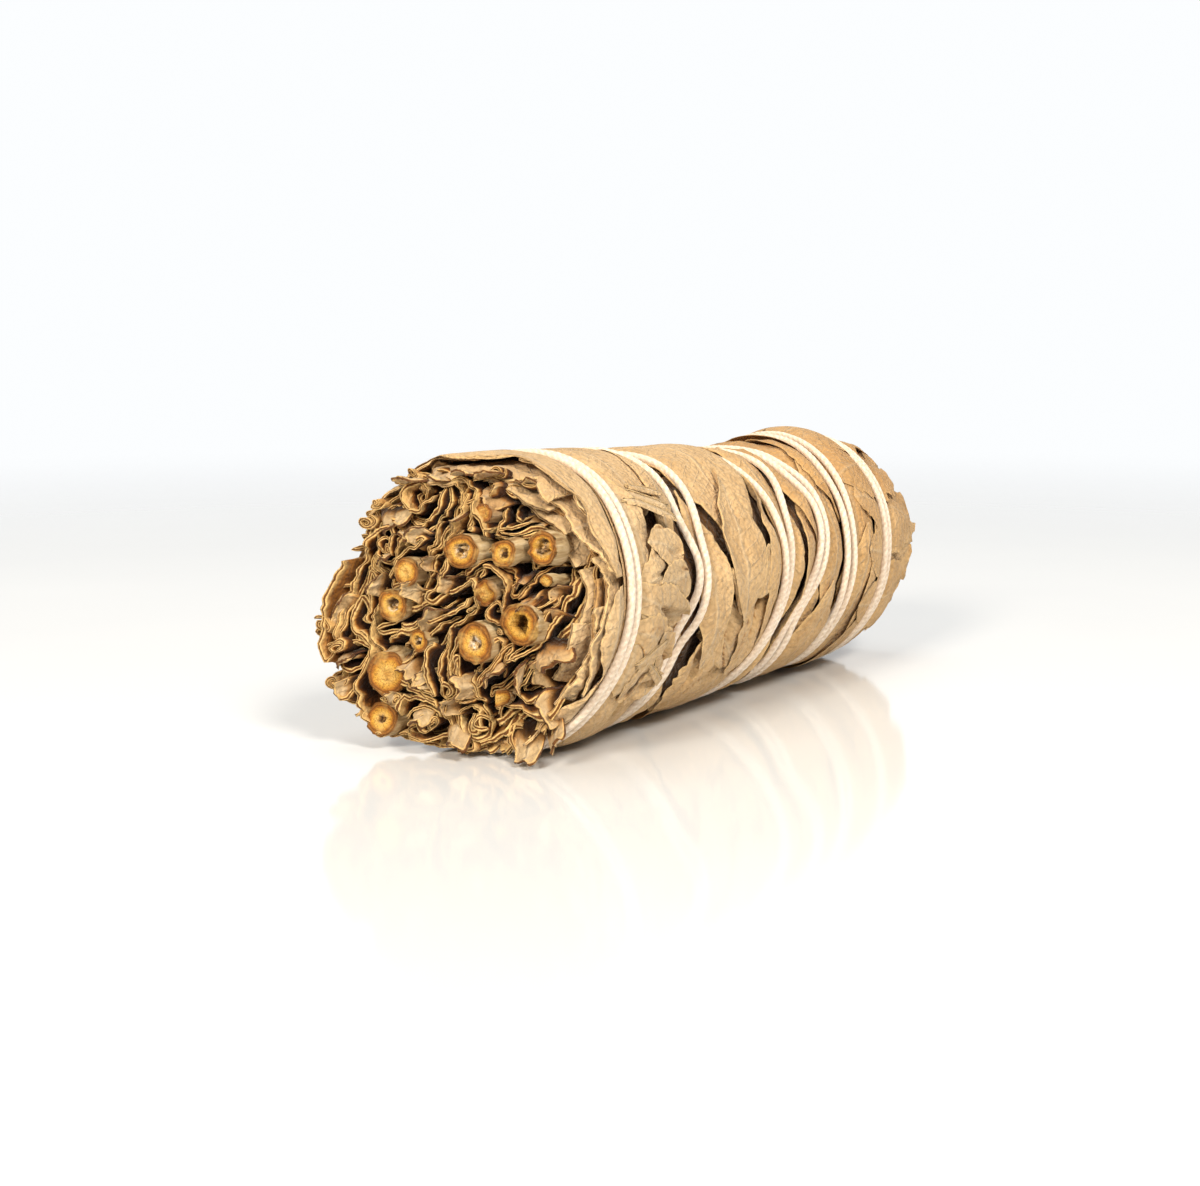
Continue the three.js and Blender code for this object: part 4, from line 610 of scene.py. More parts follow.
def ribbon(P, N, th, A, name, node_name, tint, s, k, painted_shade_scale=1.0):
    """A closed folded sheet. P and N: its midline and side direction at each depth (points x depths x 2), A: depth of each point."""
    n, m = A.shape
    total = s[-1]
    up = P + N * (th / 2)[:, None, None]
    lo = P - N * (th / 2)[:, None, None]
    TU, TL = to_place(up[..., 0], up[..., 1], A), to_place(lo[..., 0], lo[..., 1], A)
    c1, c2 = P[:, 0] + N[:, 0] * (th * 0.10)[:, None], P[:, 0] - N[:, 0] * (th * 0.10)[:, None]
    M1, M2 = to_place(c1[:, 0], c1[:, 1], A[:, 0] + 0.06), to_place(c2[:, 0], c2[:, 1], A[:, 0] + 0.06)
    ring = np.concatenate([TU, TL[::-1]], 0)
    nv = 2 * n
    verts = np.concatenate([ring.transpose(1, 0, 2).reshape(-1, 3), M1, M2])
    idx = np.arange(m * nv).reshape(m, nv)
    nx = np.roll(idx, -1, axis=1)
    faces = np.stack([idx[:-1], nx[:-1], nx[1:], idx[1:]], -1).reshape(-1, 4).tolist()
    P0, N0 = idx[0, :n], idx[0, n:][::-1]
    a1 = m * nv + np.arange(n)
    a2 = a1 + n
    for i in range(n - 1):
        faces += [(P0[i + 1], P0[i], a1[i], a1[i + 1]), (a1[i + 1], a1[i], a2[i], a2[i + 1]), (a2[i + 1], a2[i], N0[i], N0[i + 1])]
    faces.append((P0[0], N0[0], a2[0], a1[0]))
    faces.append((P0[-1], a1[-1], a2[-1], N0[-1]))
    PE, NE = idx[-1, :n], idx[-1, n:][::-1]
    for i in range(n - 1):
        faces.append((PE[i], PE[i + 1], NE[i + 1], NE[i]))
    D = (A - A[:, :1])
    D = np.concatenate([D, D[::-1]], 0).T.ravel()
    # painted shade: each leaf of the cut face darkens with depth behind its front edge, starting at a depth that varies
    # along the leaf
    sh = 2.6 * np.maximum(noise(s * 0.26, k * 4.3, 0, 43) - 0.16, 0) + 0.05
    SHADE_START = np.tile(np.concatenate([sh, sh[::-1]]), m)
    tail2 = np.zeros(2 * n)
    edge = np.concatenate([np.interp(D, [0, 0.2, 0.7, 1.2], [0.30, 0.16, 0.05, 0.0]), np.ones(2 * n)])
    # leaves at the bare part of the rim lie in the light, so they stay pale
    out = np.concatenate([up, lo[::-1]], 0)
    ro, po = np.hypot(out[..., 0], out[..., 1]), np.degrees(np.arctan2(out[..., 1], out[..., 0]))
    lit = (smooth((ro - 14.2) / 2.0) * open_side(po)).T.ravel()
    dp = np.where(D > 70, 0.09, painted_shade_scale * smooth((D - SHADE_START) / 0.85) * (1 - 0.86 * lit))
    painted_shade = np.concatenate([dp, tail2])
    S = np.concatenate([s, s[::-1]]) - total * 0.5
    ly = np.concatenate([np.tile(S, m), s - total * 0.5, s - total * 0.5])
    lx = np.concatenate([D, tail2]) + 3.0 * k
    return make(name, verts, faces, M_CORE, (node_name,),
                {"edge": edge, "painted_shade": painted_shade, "lx": lx, "ly": ly, "tint": np.full(len(verts), tint)})


def side_of(p):
    t = np.gradient(p, axis=0)
    t /= np.linalg.norm(t, axis=1)[:, None] + 1e-9
    nrm = blur1(np.stack([-t[:, 1], t[:, 0]], -1), 0.7)
    return nrm / (np.linalg.norm(nrm, axis=1)[:, None] + 1e-9)


def core_leaf(k, line):
    rng = np.random.default_rng(100 + k)
    p, s = resample(blur1(line, 0.75), 0.30)
    nrm = side_of(p)
    total = s[-1]
    th = 0.44 * (0.86 + 0.18 * noise(s * 0.7, k * 3.1, 0, 21))
    endd = np.minimum(s, total - s)
    th = th * (0.45 + 0.55 * smooth(endd / 0.7))
    off = float(np.clip(rng.normal(0, 0.7), -0.8, 1.2))
    lean = rng.normal(0, 0.07)
    a0 = face_at(p[:, 0], p[:, 1]) + off + lean * (s - total / 2)
    a0 = a0 + 0.60 * noise(s * 0.5, k * 7.7, 0, 31) + 0.34 * noise(s * 1.5, k * 5.1, 0, 33) + 0.14 * noise(s * 3.0, k * 2.1, 0, 35)
    a0 = a0 + 1.5 * (1 - smooth(endd / 1.6)) * rng.uniform(0.2, 1.0)
    rad = np.hypot(p[:, 0], p[:, 1])
    bare = smooth((rad - 13.2) / 2.2) * open_side(np.degrees(np.arctan2(p[:, 1], p[:, 0])))
    a0 = a0 + bare * (0.5 + 1.5 * noise(s * 0.45, k * 3.7, 0, 37) + 0.7 * noise(s * 1.3, k * 1.7, 0, 39))
    a0 = a0 + hollow(p[:, 0], p[:, 1])
    aend = (96.0 if k % 3 == 0 else 88 + 4 * rng.uniform(-1, 1)) + 2.0 * noise(s * 0.5, k * 2.3, 0, 41) - 3.5 * (1 - smooth(endd / 3.0))
    A = a0[:, None] + DEPTHS[None, :] * ((aend - a0) / DEPTHS[-1])[:, None]
    # the loose cut end opens a little: the leaf bends sideways near the cut
    bend = rng.normal(0, 0.2) + 0.35 * noise(s * 0.35, k * 1.9, 0, 51)
    loose = np.exp(-DEPTHS / 2.6)[None, :]
    P = p[:, None, :] + nrm[:, None, :] * (0.6 * bend[:, None] * loose)[:, :, None]
    N = np.broadcast_to(nrm[:, None, :], P.shape)
    return ribbon(P, N, th, A, "leaf_core_%02d" % (k + 1), LEAF_NODE[k], float(np.clip(rng.uniform(-0.1, 0.5) + 0.8 * np.exp(-(np.hypot(p[:, 0].mean() - 7.5, p[:, 1].mean() + 0.5) / 8.0) ** 2), 0, 1)), s, k)


LINES = [np.array(flat, float).reshape(-1, 2) / 100.0 for flat in LEAF_LINES]
for k, line in enumerate(LINES):
    core_leaf(k, line)

# small leaf ends between the folds: rolled tubes, and open tips that come to a point
ALL_P = np.concatenate(LINES)
ALL_K = np.concatenate([np.full(len(q), k) for k, q in enumerate(LINES)])
BIT_DEPTHS = np.array([0, 0.2, 0.6, 1.2, 2.0, 3.0, 4.4, 6.5, 9.0])


def bit(i, u, v, R, front, kind, rng):
    turns = rng.uniform(1.3, 2.2) if kind == "roll" else rng.uniform(0.55, 0.9)
    tm = 2 * np.pi * turns
    n = max(9, int(tm * R * 0.75 / 0.26))
    w = np.linspace(0, 1, n)
    th = w * tm + rng.uniform(0, 6.28)
    rr = R * ((0.30 + 0.70 * w) if kind == "roll" else (0.75 + 0.25 * np.sin(w * 3.1))) - 0.16
    rr = np.maximum(rr * (1 + 0.14 * noise(w * tm * 0.8, i * 2.7, 0, 111)), 0.16)
    p = np.stack([rr * np.cos(th), rr * np.sin(th) * rng.uniform(0.7, 1.0)], -1)
    s = np.concatenate([[0], np.cumsum(np.linalg.norm(np.diff(p, axis=0), axis=1))])
    nrm = side_of(p)
    c = np.abs(2 * w - 1)
    point = rng.uniform(0.1, 0.8) if kind == "roll" else rng.uniform(1.2, 2.8)
    a0 = front + point * c**1.3 + 0.15 * noise(w * 9, i * 1.9, 0, 113) + rng.normal(0, 0.25) * p[:, 0] + rng.normal(0, 0.25) * p[:, 1]
    A = a0[:, None] + BIT_DEPTHS[None, :]
    tu, tv = rng.normal(0, 0.10), rng.normal(0, 0.10)
    D = BIT_DEPTHS[None, :]
    tight = 1 - 0.22 * smooth(D / 6.0) - (0.0 if kind == "roll" else 0.25 * np.exp(-D / 1.0))
    P = np.stack([u + p[:, 0:1] * tight - tu * (3 - np.minimum(D, 3)), v + p[:, 1:2] * tight - tv * (3 - np.minimum(D, 3))], -1)
    N = np.broadcast_to(nrm[:, None, :], P.shape)
    kn = int(ALL_K[np.argmin(np.hypot(ALL_P[:, 0] - u, ALL_P[:, 1] - v))])
    tk = 0.30 * (0.6 + 0.4 * smooth(np.minimum(w, 1 - w) / 0.12))
    ribbon(P, N, tk, A, "leaf_end_%03d" % i, LEAF_NODE[kn], rng.uniform(0.0, 0.7), s, i, 0.8)


# u, v, radius, kind, how far behind the face
LOOSE = [
    (7.4, -15.0, 1.9, "tip", -0.6), (4.1, -13.9, 1.35, "tip", -1.0), (0.3, -14.9, 1.8, "tip", -0.5), (-2.1, -12.8, 1.2, "roll", -1.3),
    (0.3, -9.3, 1.3, "roll", -1.0), (3.0, -10.6, 1.25, "tip", -0.9), (-5.2, -14.6, 1.2, "tip", -0.2), (10.6, -12.6, 1.2, "tip", -0.4),
    (-13.6, -4.4, 1.25, "roll", -0.5), (-14.0, -7.6, 1.3, "tip", -0.2), (-11.4, -3.4, 1.1, "roll", -0.4), (-12.2, -10.2, 1.15, "tip", 0.0),
    (-9.2, 9.4, 1.2, "roll", -0.3), (-3.0, 12.6, 1.25, "tip", -0.2), (1.0, 13.6, 1.2, "tip", -0.8), (3.2, 14.6, 1.5, "tip", -1.2), (5.6, 14.6, 1.4, "tip", -0.6),
    (3.4, 16.9, 1.1, "roll", -1.6), (6.6, 16.0, 1.3, "tip", -1.4), (-6.6, 13.6, 1.2, "tip", -0.4), (-15.4, 1.2, 1.3, "tip", -0.4), (-15.8, -2.6, 1.3, "roll", -0.6),
]


def fill_bits():
    rng = np.random.default_rng(4242)
    cand = rng.uniform(-17.2, 17.2, (9000, 2))
    cand = cand[np.hypot(cand[:, 0], cand[:, 1]) < 16.6]
    clear = np.full(len(cand), 9.0)
    for q in LINES:
        d = np.hypot(cand[:, None, 0] - q[None, :, 0], cand[:, None, 1] - q[None, :, 1]).min(1) - 0.30
        clear = np.minimum(clear, d)
    for st in STEMS:
        clear = np.minimum(clear, np.hypot(cand[:, 0] - st[0], cand[:, 1] - st[1]) - st[2] - 0.05)
    clear = np.minimum(clear, 17.0 - np.hypot(cand[:, 0], cand[:, 1]))
    i = 0
    while i < 110:
        j = int(np.argmax(clear))
        R = min(float(clear[j]), 1.35)
        if R < 0.46:
            break
        u, v = cand[j]
        kind = "roll" if rng.uniform() < 0.55 else "tip"
        front = float(face_at(u, v)) + float(hollow(u, v)) + float(np.clip(rng.normal(0.3, 0.9), -1.1, 2.4))
        bit(i, u, v, R * 1.02, front, kind, rng)
        clear = np.minimum(clear, np.hypot(cand[:, 0] - u, cand[:, 1] - v) - R)
        i += 1
    # larger loose ends along the bottom of the face
    for u, v, R, kind, fo in LOOSE:
        bit(i, u, v, R, float(face_at(u, v)) + fo, kind, rng)
        i += 1
    # loose ends round the bare part of the rim
    for phi in np.arange(104.0, 326.0, 4.2):
        ph = phi + rng.uniform(-2.5, 2.5)
        R = rng.uniform(0.55, 1.15)
        r = 16.9 + rng.uniform(-0.5, 0.35) - 0.35 * R
        u, v = r * math.cos(math.radians(ph)), r * math.sin(math.radians(ph))
        front = float(face_at(u, v)) + float(np.clip(rng.normal(1.2, 1.0), -0.3, 3.2))
        bit(i, u, v, R, front, "roll" if rng.uniform() < 0.4 else "tip", rng)
        i += 1
    return i


BIT_COUNT = fill_bits()


def scrap(i, u, v, w, out, lean, ang, cup, tint, deep_in=4.5):
    """A broad loose leaf end: it comes up between the folds, bends over and shows its flat side."""
    rng = np.random.default_rng(700 + i)
    t = np.linspace(0, 1, 15)[None, :]
    q = np.linspace(-1, 1, 17)[:, None]
    front = float(face_at(u, v)) + 0.5 * float(hollow(u, v)) - 0.45
    turn = math.radians(ang) + rng.normal(0, 0.35) * t
    half = 0.56 * w * (0.80 + 0.20 * np.sin(2.6 * t)) * (1 - 0.30 * t**4)
    side = half * q
    over = lean * smooth((t - 0.30) / 0.70) ** 1.3
    bow = cup * (1 - q * q) * (0.4 + 0.6 * t) + 0.22 * noise(q * 1.7, t * 2.2, i * 3.1, 141) + 0.10 * noise(q * 4.0, t * 4.0, i * 3.1, 143)
    U = u + np.cos(turn) * side - np.sin(turn) * (over + bow)
    V = v + np.sin(turn) * side + np.cos(turn) * (over + bow)
    ragged = 0.45 * noise(q * 2.1, i * 1.7, 0, 145) + 0.22 * noise(q * 6.0, i * 1.7, 0, 147) + 0.5 * q * rng.normal(0, 0.6)
    A = front + deep_in - (deep_in + out) * t + ragged * t * t + 0.35 * abs(lean) * smooth((t - 0.6) / 0.4) * 0.5
    dU, dV = -np.sin(turn) * 0.15 + 0 * side, np.cos(turn) * 0.15 + 0 * side
    # thickness across the bend: partly sideways, partly along the bunch where the end has turned over
    lay_over = np.clip(abs(lean) * smooth((t - 0.25) / 0.5) / (out + 2.0), 0, 1) + 0 * side
    dA = -np.sign(lean) * 0.15 * lay_over
    top = to_place(U + dU, V + dV, A - dA)
    bot = to_place(U - dU, V - dV, A + dA)
    vv, ff, ee = sheet_mesh(top, bot, 0.5 * (top + bot), 0.74, 1.0)
    n = A.size
    kn = int(ALL_K[np.argmin(np.hypot(ALL_P[:, 0] - u, ALL_P[:, 1] - v))])
    # painted shade: the loose end darkens the further it lies behind its front
    dp = 0.95 * smooth((A - front - 0.1 - 0.6 * noise(q * 1.3, t * 2.0, i * 2.3, 149)) / 1.5)
    rest = len(vv) - 2 * n
    pad = np.zeros(rest)
    make("leaf_loose_%02d" % i, vv, ff, M_LOOSE, (LEAF_NODE[kn],),
         {"edge": ee, "painted_shade": np.concatenate([dp.ravel(), dp.ravel(), pad]),
          "lx": np.concatenate([(A + 0 * q).ravel() * 1.0] * 2 + [pad + 1.0]) + i,
          "ly": np.concatenate([side.ravel()] * 2 + [pad + 1.5]),
          "tint": np.full(len(vv), min(1.0, tint + 0.5 * math.exp(-(math.hypot(u - 8.5, v + 1.5) / 7.0) ** 2)))})


# u, v, width, how far it stands out, how far it bends over, direction of its width, cupping, warmth
SCRAPS = [
    (-9.3, 10.9, 4.8, 1.6, -2.3, 6, 0.3, 0.0), (-1.2, -2.7, 3.4, 1.5, 1.9, 62, 0.5, 0.0), (-0.6, -8.3, 2.7, 1.8, 1.6, 70, 0.7, 0.0),
    (3.1, -9.2, 2.9, 1.9, 1.7, 95, -0.6, 0.05), (-3.1, -10.6, 2.3, 2.0, -2.6, -24, 0.5, 0.0), (7.8, -14.2, 3.4, 1.8, -2.2, 4, 0.4, 0.05),
    (13.4, -8.9, 4.0, 1.4, 1.9, 76, 0.7, 0.1), (13.0, -4.9, 4.6, 1.3, -2.0, 24, 0.5, 0.3), (-4.4, -5.5, 3.0, 1.2, -1.7, -18, 0.4, 0.25),
    (4.0, 14.0, 3.8, 1.6, -2.1, -20, 0.6, 0.7), (7.2, 15.2, 3.6, 1.2, -1.8, 10, -0.4, 0.1), (-13.2, -1.2, 4.4, 1.2, 1.7, 112, 0.4, 0.2),
    (-7.0, 9.0, 2.6, 1.5, -1.5, 14, 0.4, 0.05), (-4.2, 7.4, 2.4, 1.6, 1.6, 48, 0.5, 0.0), (-4.2, 0.8, 2.5, 1.6, 1.7, 66, 0.5, 0.0),
    (13.3, -0.2, 3.4, 1.0, 1.7, 84, 0.4, 0.45), (9.8, 3.6, 2.8, 1.1, -1.5, 12, 0.5, 0.6), (0.4, 2.0, 3.0, 1.3, 1.6, 50, 0.5, 0.3),
    (6.0, -7.2, 2.6, 1.5, -1.6, -10, 0.5, 0.2), (-6.0, -10.4, 2.0, 1.4, 1.3, 80, 0.4, 0.1), (-13.2, -5.4, 2.5, 1.3, -1.4, 20, 0.4, 0.15),
    (11.0, -13.0, 2.9, 1.6, -1.8, 30, 0.5, 0.15), (0.6, -13.6, 3.0, 1.8, -2.0, -6, 0.5, 0.05), (-11.0, 6.2, 2.6, 1.4, -1.5, 40, 0.5, 0.1),
    (-2.4, -6.6, 2.6, 1.6, -1.8, -30, 0.5, 0.0), (1.6, -11.4, 2.4, 1.9, 1.5, 110, 0.6, 0.1), (9.6, -7.6, 3.0, 1.4, -1.7, 20, 0.5, 0.1),
    (-10.4, 2.2, 2.3, 1.4, 1.4, 70, 0.4, 0.1), (-1.6, 4.2, 2.2, 1.5, 1.4, 76, 0.5, 0.2), (12.4, -11.2, 2.6, 1.5, 1.5, 64, 0.5, 0.0),
    (14.9, 0.9, 3.2, 1.1, 1.6, 80, 0.5, 0.55), (14.3, -2.6, 3.0, 1.2, 1.6, 70, 0.5, 0.6), (11.4, 0.9, 2.2, 1.2, -1.2, 10, 0.5, 0.7),
    (3.4, 16.2, 2.4, 2.6, 0.7, 4, 0.4, 0.6), (6.6, 15.8, 3.2, 2.2, 0.6, -8, -0.4, 0.1), (0.2, 16.2, 2.6, 2.2, 0.5, 10, 0.5, 0.1),
    (-3.4, 15.4, 2.4, 2.0, 0.5, 16, 0.4, 0.15), (-6.8, 14.2, 2.6, 1.9, 0.4, 24, 0.4, 0.1),
    (8.6, 11.4, 4.0, 1.0, -2.2, -24, 0.4, 0.0), (-0.8, 11.0, 2.8, 1.4, -1.6, 24, 0.5, 0.15), (-11.6, -8.8, 2.4, 1.3, 1.4, 96, 0.4, 0.1),
]
for i, row in enumerate(SCRAPS):
    scrap(i + 1, *row)

# ------------------------------------------------------------------ stems
def stem(i, u, v, r, hole, out, su, sv, kind):
    rng = np.random.default_rng(300 + i)
    seg = 44
    th = np.linspace(0, 2 * np.pi, seg, endpoint=False)
    wob = 1 + 0.08 * noise(np.cos(th) * 1.3, np.sin(th) * 1.3, i * 3.3, 7) + 0.05 * noise(np.cos(th) * 4, np.sin(th) * 4, i * 1.7, 8)
    if kind == "crushed":
        wob = wob * (1 + 0.22 * noise(np.cos(th) * 1.8, np.sin(th) * 1.8, 4.4, 9))
    if kind in ("cup", "solid") and r > 1.8:
        wob = wob * (1 + 0.13 * np.cos(2 * (th - 1.5)))
    front = float(face_at(np.array(u), np.array(v))) - out
    end = 66 + 3 * rng.uniform(-1, 1)
    rows, rad, pit, hole_shade, brk = [], [], [], [], []
    fr = [0.0, 0.08, 0.16, 0.24, 0.32, 0.39, 0.46, 0.52, 0.58, 0.64, 0.70, 0.76, 0.81, 0.86, 0.90, 0.94, 0.97, 1.0]
    for f in fr:
        rr = np.full(seg, f) * r * wob
        x, y = rr * np.cos(th), rr * np.sin(th)
        z = front + su * x + sv * y
        g = noise(x * 1.6, y * 1.6, i * 5.0, 11)
        g2 = noise(x * 5.0, y * 5.0, i * 5.0, 12)
        z = z + 0.16 * g + 0.10 * g2 + 0.05 * noise(x * 11, y * 11, i * 5.0, 17)
        if kind == "crushed":
            z = z + 0.9 * noise(x * 0.9, y * 0.9, 2.0, 14) + 0.35 * noise(x * 2.2, y * 2.2, 3.0, 15)
        if kind == "split":
            z = z - 1.8 * np.clip(1 - np.abs(x) / (0.8 * r), 0, 1) + 0.6
        if hole > 0:
            jag = hole * (1 + 0.22 * noise(np.cos(th) * 2, np.sin(th) * 2, i * 2.2, 16))
            inside = smooth((jag - f) / 0.10)
            depth = {"hole": 4.2, "ring": 0.9, "cup": 0.9, "gold": 0.6, "pith": 0.4}.get(kind, 1.2)
            z = z + depth * inside * (1 + (0.9 * noise(x * 2.5, y * 2.5, i, 18) if kind != "hole" else 0))
            ins = inside
        else:
            ins = np.zeros(seg)
        if f > 0.9:
            z = z + 0.42 * noise(np.cos(th) * 3.2, np.sin(th) * 3.2, i * 4.1, 19) * (f - 0.88) / 0.12 + 0.10 * (f - 0.9) / 0.1
        rows.append((x, y, z))
        rad.append(np.full(seg, f * 0.97))
        pale = {"ring": 0.75, "pith": 0.8, "cup": 0.35, "gold": 0.25}.get(kind, 0.0)
        pit.append(np.clip(ins * pale, 0, 1))
        # how far the painted shade of the hole reaches
        hole_shade.append(np.clip(ins * {"hole": 1.0, "ring": 0.42, "gold": 0.5, "cup": 0.4, "pith": 0.40, "crushed": 0.4}.get(kind, 0.0), 0, 1))
        brk.append(np.zeros(seg))
    lengths = [0.06, 0.3, 0.7, 1.3, 2.1, 3.2, 4.6, 6.5, 9, 13, 20, 32, 46, 58, end - front]
    for d in lengths:
        rr = r * wob * (1 + 0.02 * noise(np.cos(th) * 6, np.sin(th) * 6, d * 0.35 + i, 20))
        if d > 50:
            rr = rr * (1 - 0.3 * (d - 50) / 20)
        x, y = rr * np.cos(th), rr * np.sin(th)
        base = front + (su * x + sv * y) * np.exp(-d / 1.5)
        rows.append((x, y, base + d + 0.1))
        rad.append(np.ones(seg)); pit.append(np.zeros(seg)); hole_shade.append(np.zeros(seg)); brk.append(np.full(seg, 1.0 if d > 0.1 else 0.6))
    ca = [np.cos(th) * (1 if k else 0) for k in range(len(rows))]
    sa = [np.sin(th) * (1 if k else 0) for k in range(len(rows))]
    X = np.array([q[0] for q in rows]); Y = np.array([q[1] for q in rows]); Z = np.array([q[2] for q in rows])
    # the stem keeps its own line where it stands out of the leaves
    zin = np.maximum(Z, float(face_at(np.array(u), np.array(v))))
    cu, cv = warp(np.full_like(zin, u), np.full_like(zin, v), zin)
    U, V = cu + X, cv + Y
    ph = np.degrees(np.arctan2(V, U))
    P = place(zin, ph, np.hypot(U, V) * core_size(zin, np.degrees(math.atan2(v, u))))
    P[..., 0] += Z - zin
    m = len(rows)
    # first ring is the middle point
    verts = [P[0].mean(0)] + P[1:].reshape(-1, 3).tolist() + [P[-1].mean(0)]
    idx = 1 + np.arange((m - 1) * seg).reshape(m - 1, seg)
    nx = np.roll(idx, -1, axis=1)
    faces = np.stack([idx[:-1], nx[:-1], nx[1:], idx[1:]], -1).reshape(-1, 4).tolist()
    faces += [(0, int(nx[0, j]), int(idx[0, j])) for j in range(seg)]
    last = len(verts) - 1
    faces += [(last, int(idx[-1, j]), int(nx[-1, j])) for j in range(seg)]
    cat = lambda L: np.concatenate([[L[0][0]], np.concatenate(L[1:]), [L[-1][0]]])
    tone = {"tan": 0.45, "green": 0.0, "split": 0.15, "crushed": 0.25, "solid": 0.12}.get(kind, 0.05)
    return make("stem_end_%02d" % (i + 1), verts, faces, M_STEM, ("stem_%02d" % (i + 1),),
                {"rad": cat(rad), "pith": cat(pit), "hole": cat(hole_shade), "bark": cat(brk), "ca": cat(ca), "sa": cat(sa) + 3.7 * i, "tone": np.full(len(verts), tone)})


for i, row in enumerate(STEMS):
    stem(i, *row)

# ------------------------------------------------------------------ leaves wrapped round the bunch
# A height map over (a, phi) of everything laid so far: each leaf is draped over what is under it.
MAP_A = np.arange(-5.0, 103.0, 0.5)
MAP_P = np.arange(0.0, 360.0, 1.5)
HEIGHT = 16.95 * core_size(MAP_A[:, None], MAP_P[None, :]) - 1.2 * open_side(MAP_P)[None, :] * (1 - smooth((MAP_A[:, None] - 2.0) / 9.0))
TOP_KNEE, TOP_ROOM = 18.4, 0.75


def cut_at(phi, back=0.0, rough=0.35, seed=0, r=17.3):
    """The cut edge of a wrapped leaf round the rim."""
    u, v = r * np.cos(np.radians(phi)), r * np.sin(np.radians(phi))
    return face_at(u, v) + back + rough * noise(phi * 0.09, seed * 3.3, 0, 91) + 0.4 * rough * noise(phi * 0.4, seed * 2.1, 0, 93)


def fall(a, phi):
    """How far the wrapped leaves turn in towards the middle in front of the first tie."""
    p = (np.asarray(phi, float) + 180.0) % 360.0 - 180.0
    c = cut_at(p, 0.0, 0.0)
    run = np.clip(wound(np.clip(p, -60, 120), 0) - c - 0.6, 1.4, 4.8)
    depth = (2.3 + 0.9 * noise(p * 0.045, 3.0, 0, 97) + 0.5 * noise(p * 0.13, 5.0, 0, 97)) * window(p, -44, 108, 18)
    return depth * np.clip(1 - (np.asarray(a, float) - c) / run, 0, 1.15) ** 1.4


HEIGHT -= fall(MAP_A[:, None], MAP_P[None, :])


def crown(r):
    """Keeps the stack of leaves within the bunch's radius without changing its order."""
    return np.where(r > TOP_KNEE, TOP_KNEE + TOP_ROOM * (1 - np.exp(-np.maximum(r - TOP_KNEE, 0) / TOP_ROOM)), r)


def laid_at(a, phi):
    ia = np.clip((np.asarray(a, float) - MAP_A[0]) / 0.5, 0, len(MAP_A) - 1.001)
    ip = (np.asarray(phi, float) % 360.0) / 1.5
    i0, j0 = np.floor(ia).astype(int), np.floor(ip).astype(int) % len(MAP_P)
    fa, fp = ia - np.floor(ia), ip - np.floor(ip)
    j1 = (j0 + 1) % len(MAP_P)
    return ((HEIGHT[i0, j0] * (1 - fp) + HEIGHT[i0, j1] * fp) * (1 - fa)
            + (HEIGHT[i0 + 1, j0] * (1 - fp) + HEIGHT[i0 + 1, j1] * fp) * fa)


def lay(a, phi, r):
    """Adds a draped surface to the height map."""
    new = np.full_like(HEIGHT, -1.0)
    ia = np.clip(np.rint((a - MAP_A[0]) / 0.5).astype(int), 0, len(MAP_A) - 1).ravel()
    ip = (np.rint((phi % 360.0) / 1.5).astype(int) % len(MAP_P)).ravel()
    np.maximum.at(new, (ia, ip), r.ravel())
    grown = new.copy()
    for da in (-1, 0, 1):
        for dp in (-1, 0, 1):
            sh = np.roll(new, dp, 1)
            if da == 1:
                sh = np.concatenate([sh[:1], sh[:-1]])
            elif da == -1:
                sh = np.concatenate([sh[1:], sh[-1:]])
            grown = np.maximum(grown, sh)
    np.maximum(HEIGHT, grown, out=HEIGHT)


def blur2(h, s):
    h = blur1(h, s) if s > 0.3 else h
    return blur1(h.T, s).T if s > 0.3 else h


def node_at(a, phi):
    k = int(((phi + 170.0) % 360.0) // 60.0)
    return "wrap_leaf_%02d" % (k + 1 + (0 if a < 45.0 else 6))


WRAP_COUNT = [0]


def finish_sheet(A, PH, low, high, node_name, tint, lx, ly, painted_shade=0.0, prefix="leaf_wrap", edge_mid=0.85, extra_painted_shade=None):
    """Closes a draped sheet between two height grids and adds it to the scene and to the height map."""
    WRAP_COUNT[0] += 1
    top = place(A, PH, crown(high))
    bot = place(A, PH, crown(low))
    mid = 0.5 * (top + bot)
    # the rim stands out a little between the two faces
    grow = np.zeros_like(mid)
    grow[0] += mid[0] - mid[1]
    grow[-1] += mid[-1] - mid[-2]
    grow[:, 0] += mid[:, 0] - mid[:, 1]
    grow[:, -1] += mid[:, -1] - mid[:, -2]
    ln = np.linalg.norm(grow, axis=-1, keepdims=True)
    mid = mid + 0.07 * grow / np.maximum(ln, 1e-6)
    mid[..., 2] = np.maximum(mid[..., 2], 0.02)
    v, f, e = sheet_mesh(top, bot, mid, 0.22, edge_mid)
    n = A.size
    I, J = A.shape
    loop = [(i, 0) for i in range(I)] + [(I - 1, j) for j in range(1, J)] + [(i, J - 1) for i in range(I - 2, -1, -1)] + [(0, j) for j in range(J - 2, 0, -1)]
    ring = lambda q: np.concatenate([q.ravel(), q.ravel(), np.array([q[i, j] for i, j in loop])])
    # painted shade: a set amount for the whole sheet, plus any extra painted shade from creases, holes and gaps
    dp = np.full(A.shape, painted_shade) if extra_painted_shade is None else np.clip(painted_shade + extra_painted_shade, 0, 1)
    # painted shade also darkens the tops of the leaves near the tips
    dp = np.clip(dp + 0.13 * smooth((A - 46) / 22.0) * window((PH + 90) % 360.0 - 90, 28, 152, 24) * (0.75 + 0.5 * noise(A * 0.12, PH * 0.05, 3.0, 151)), 0, 1)
    lay(A, PH, high)
    return make("%s_%03d" % (prefix, WRAP_COUNT[0]), v, f, M_WRAP, (node_name,),
                {"edge": e, "painted_shade": ring(dp), "lx": ring(lx), "ly": ring(ly), "tint": np.full(len(v), tint)})


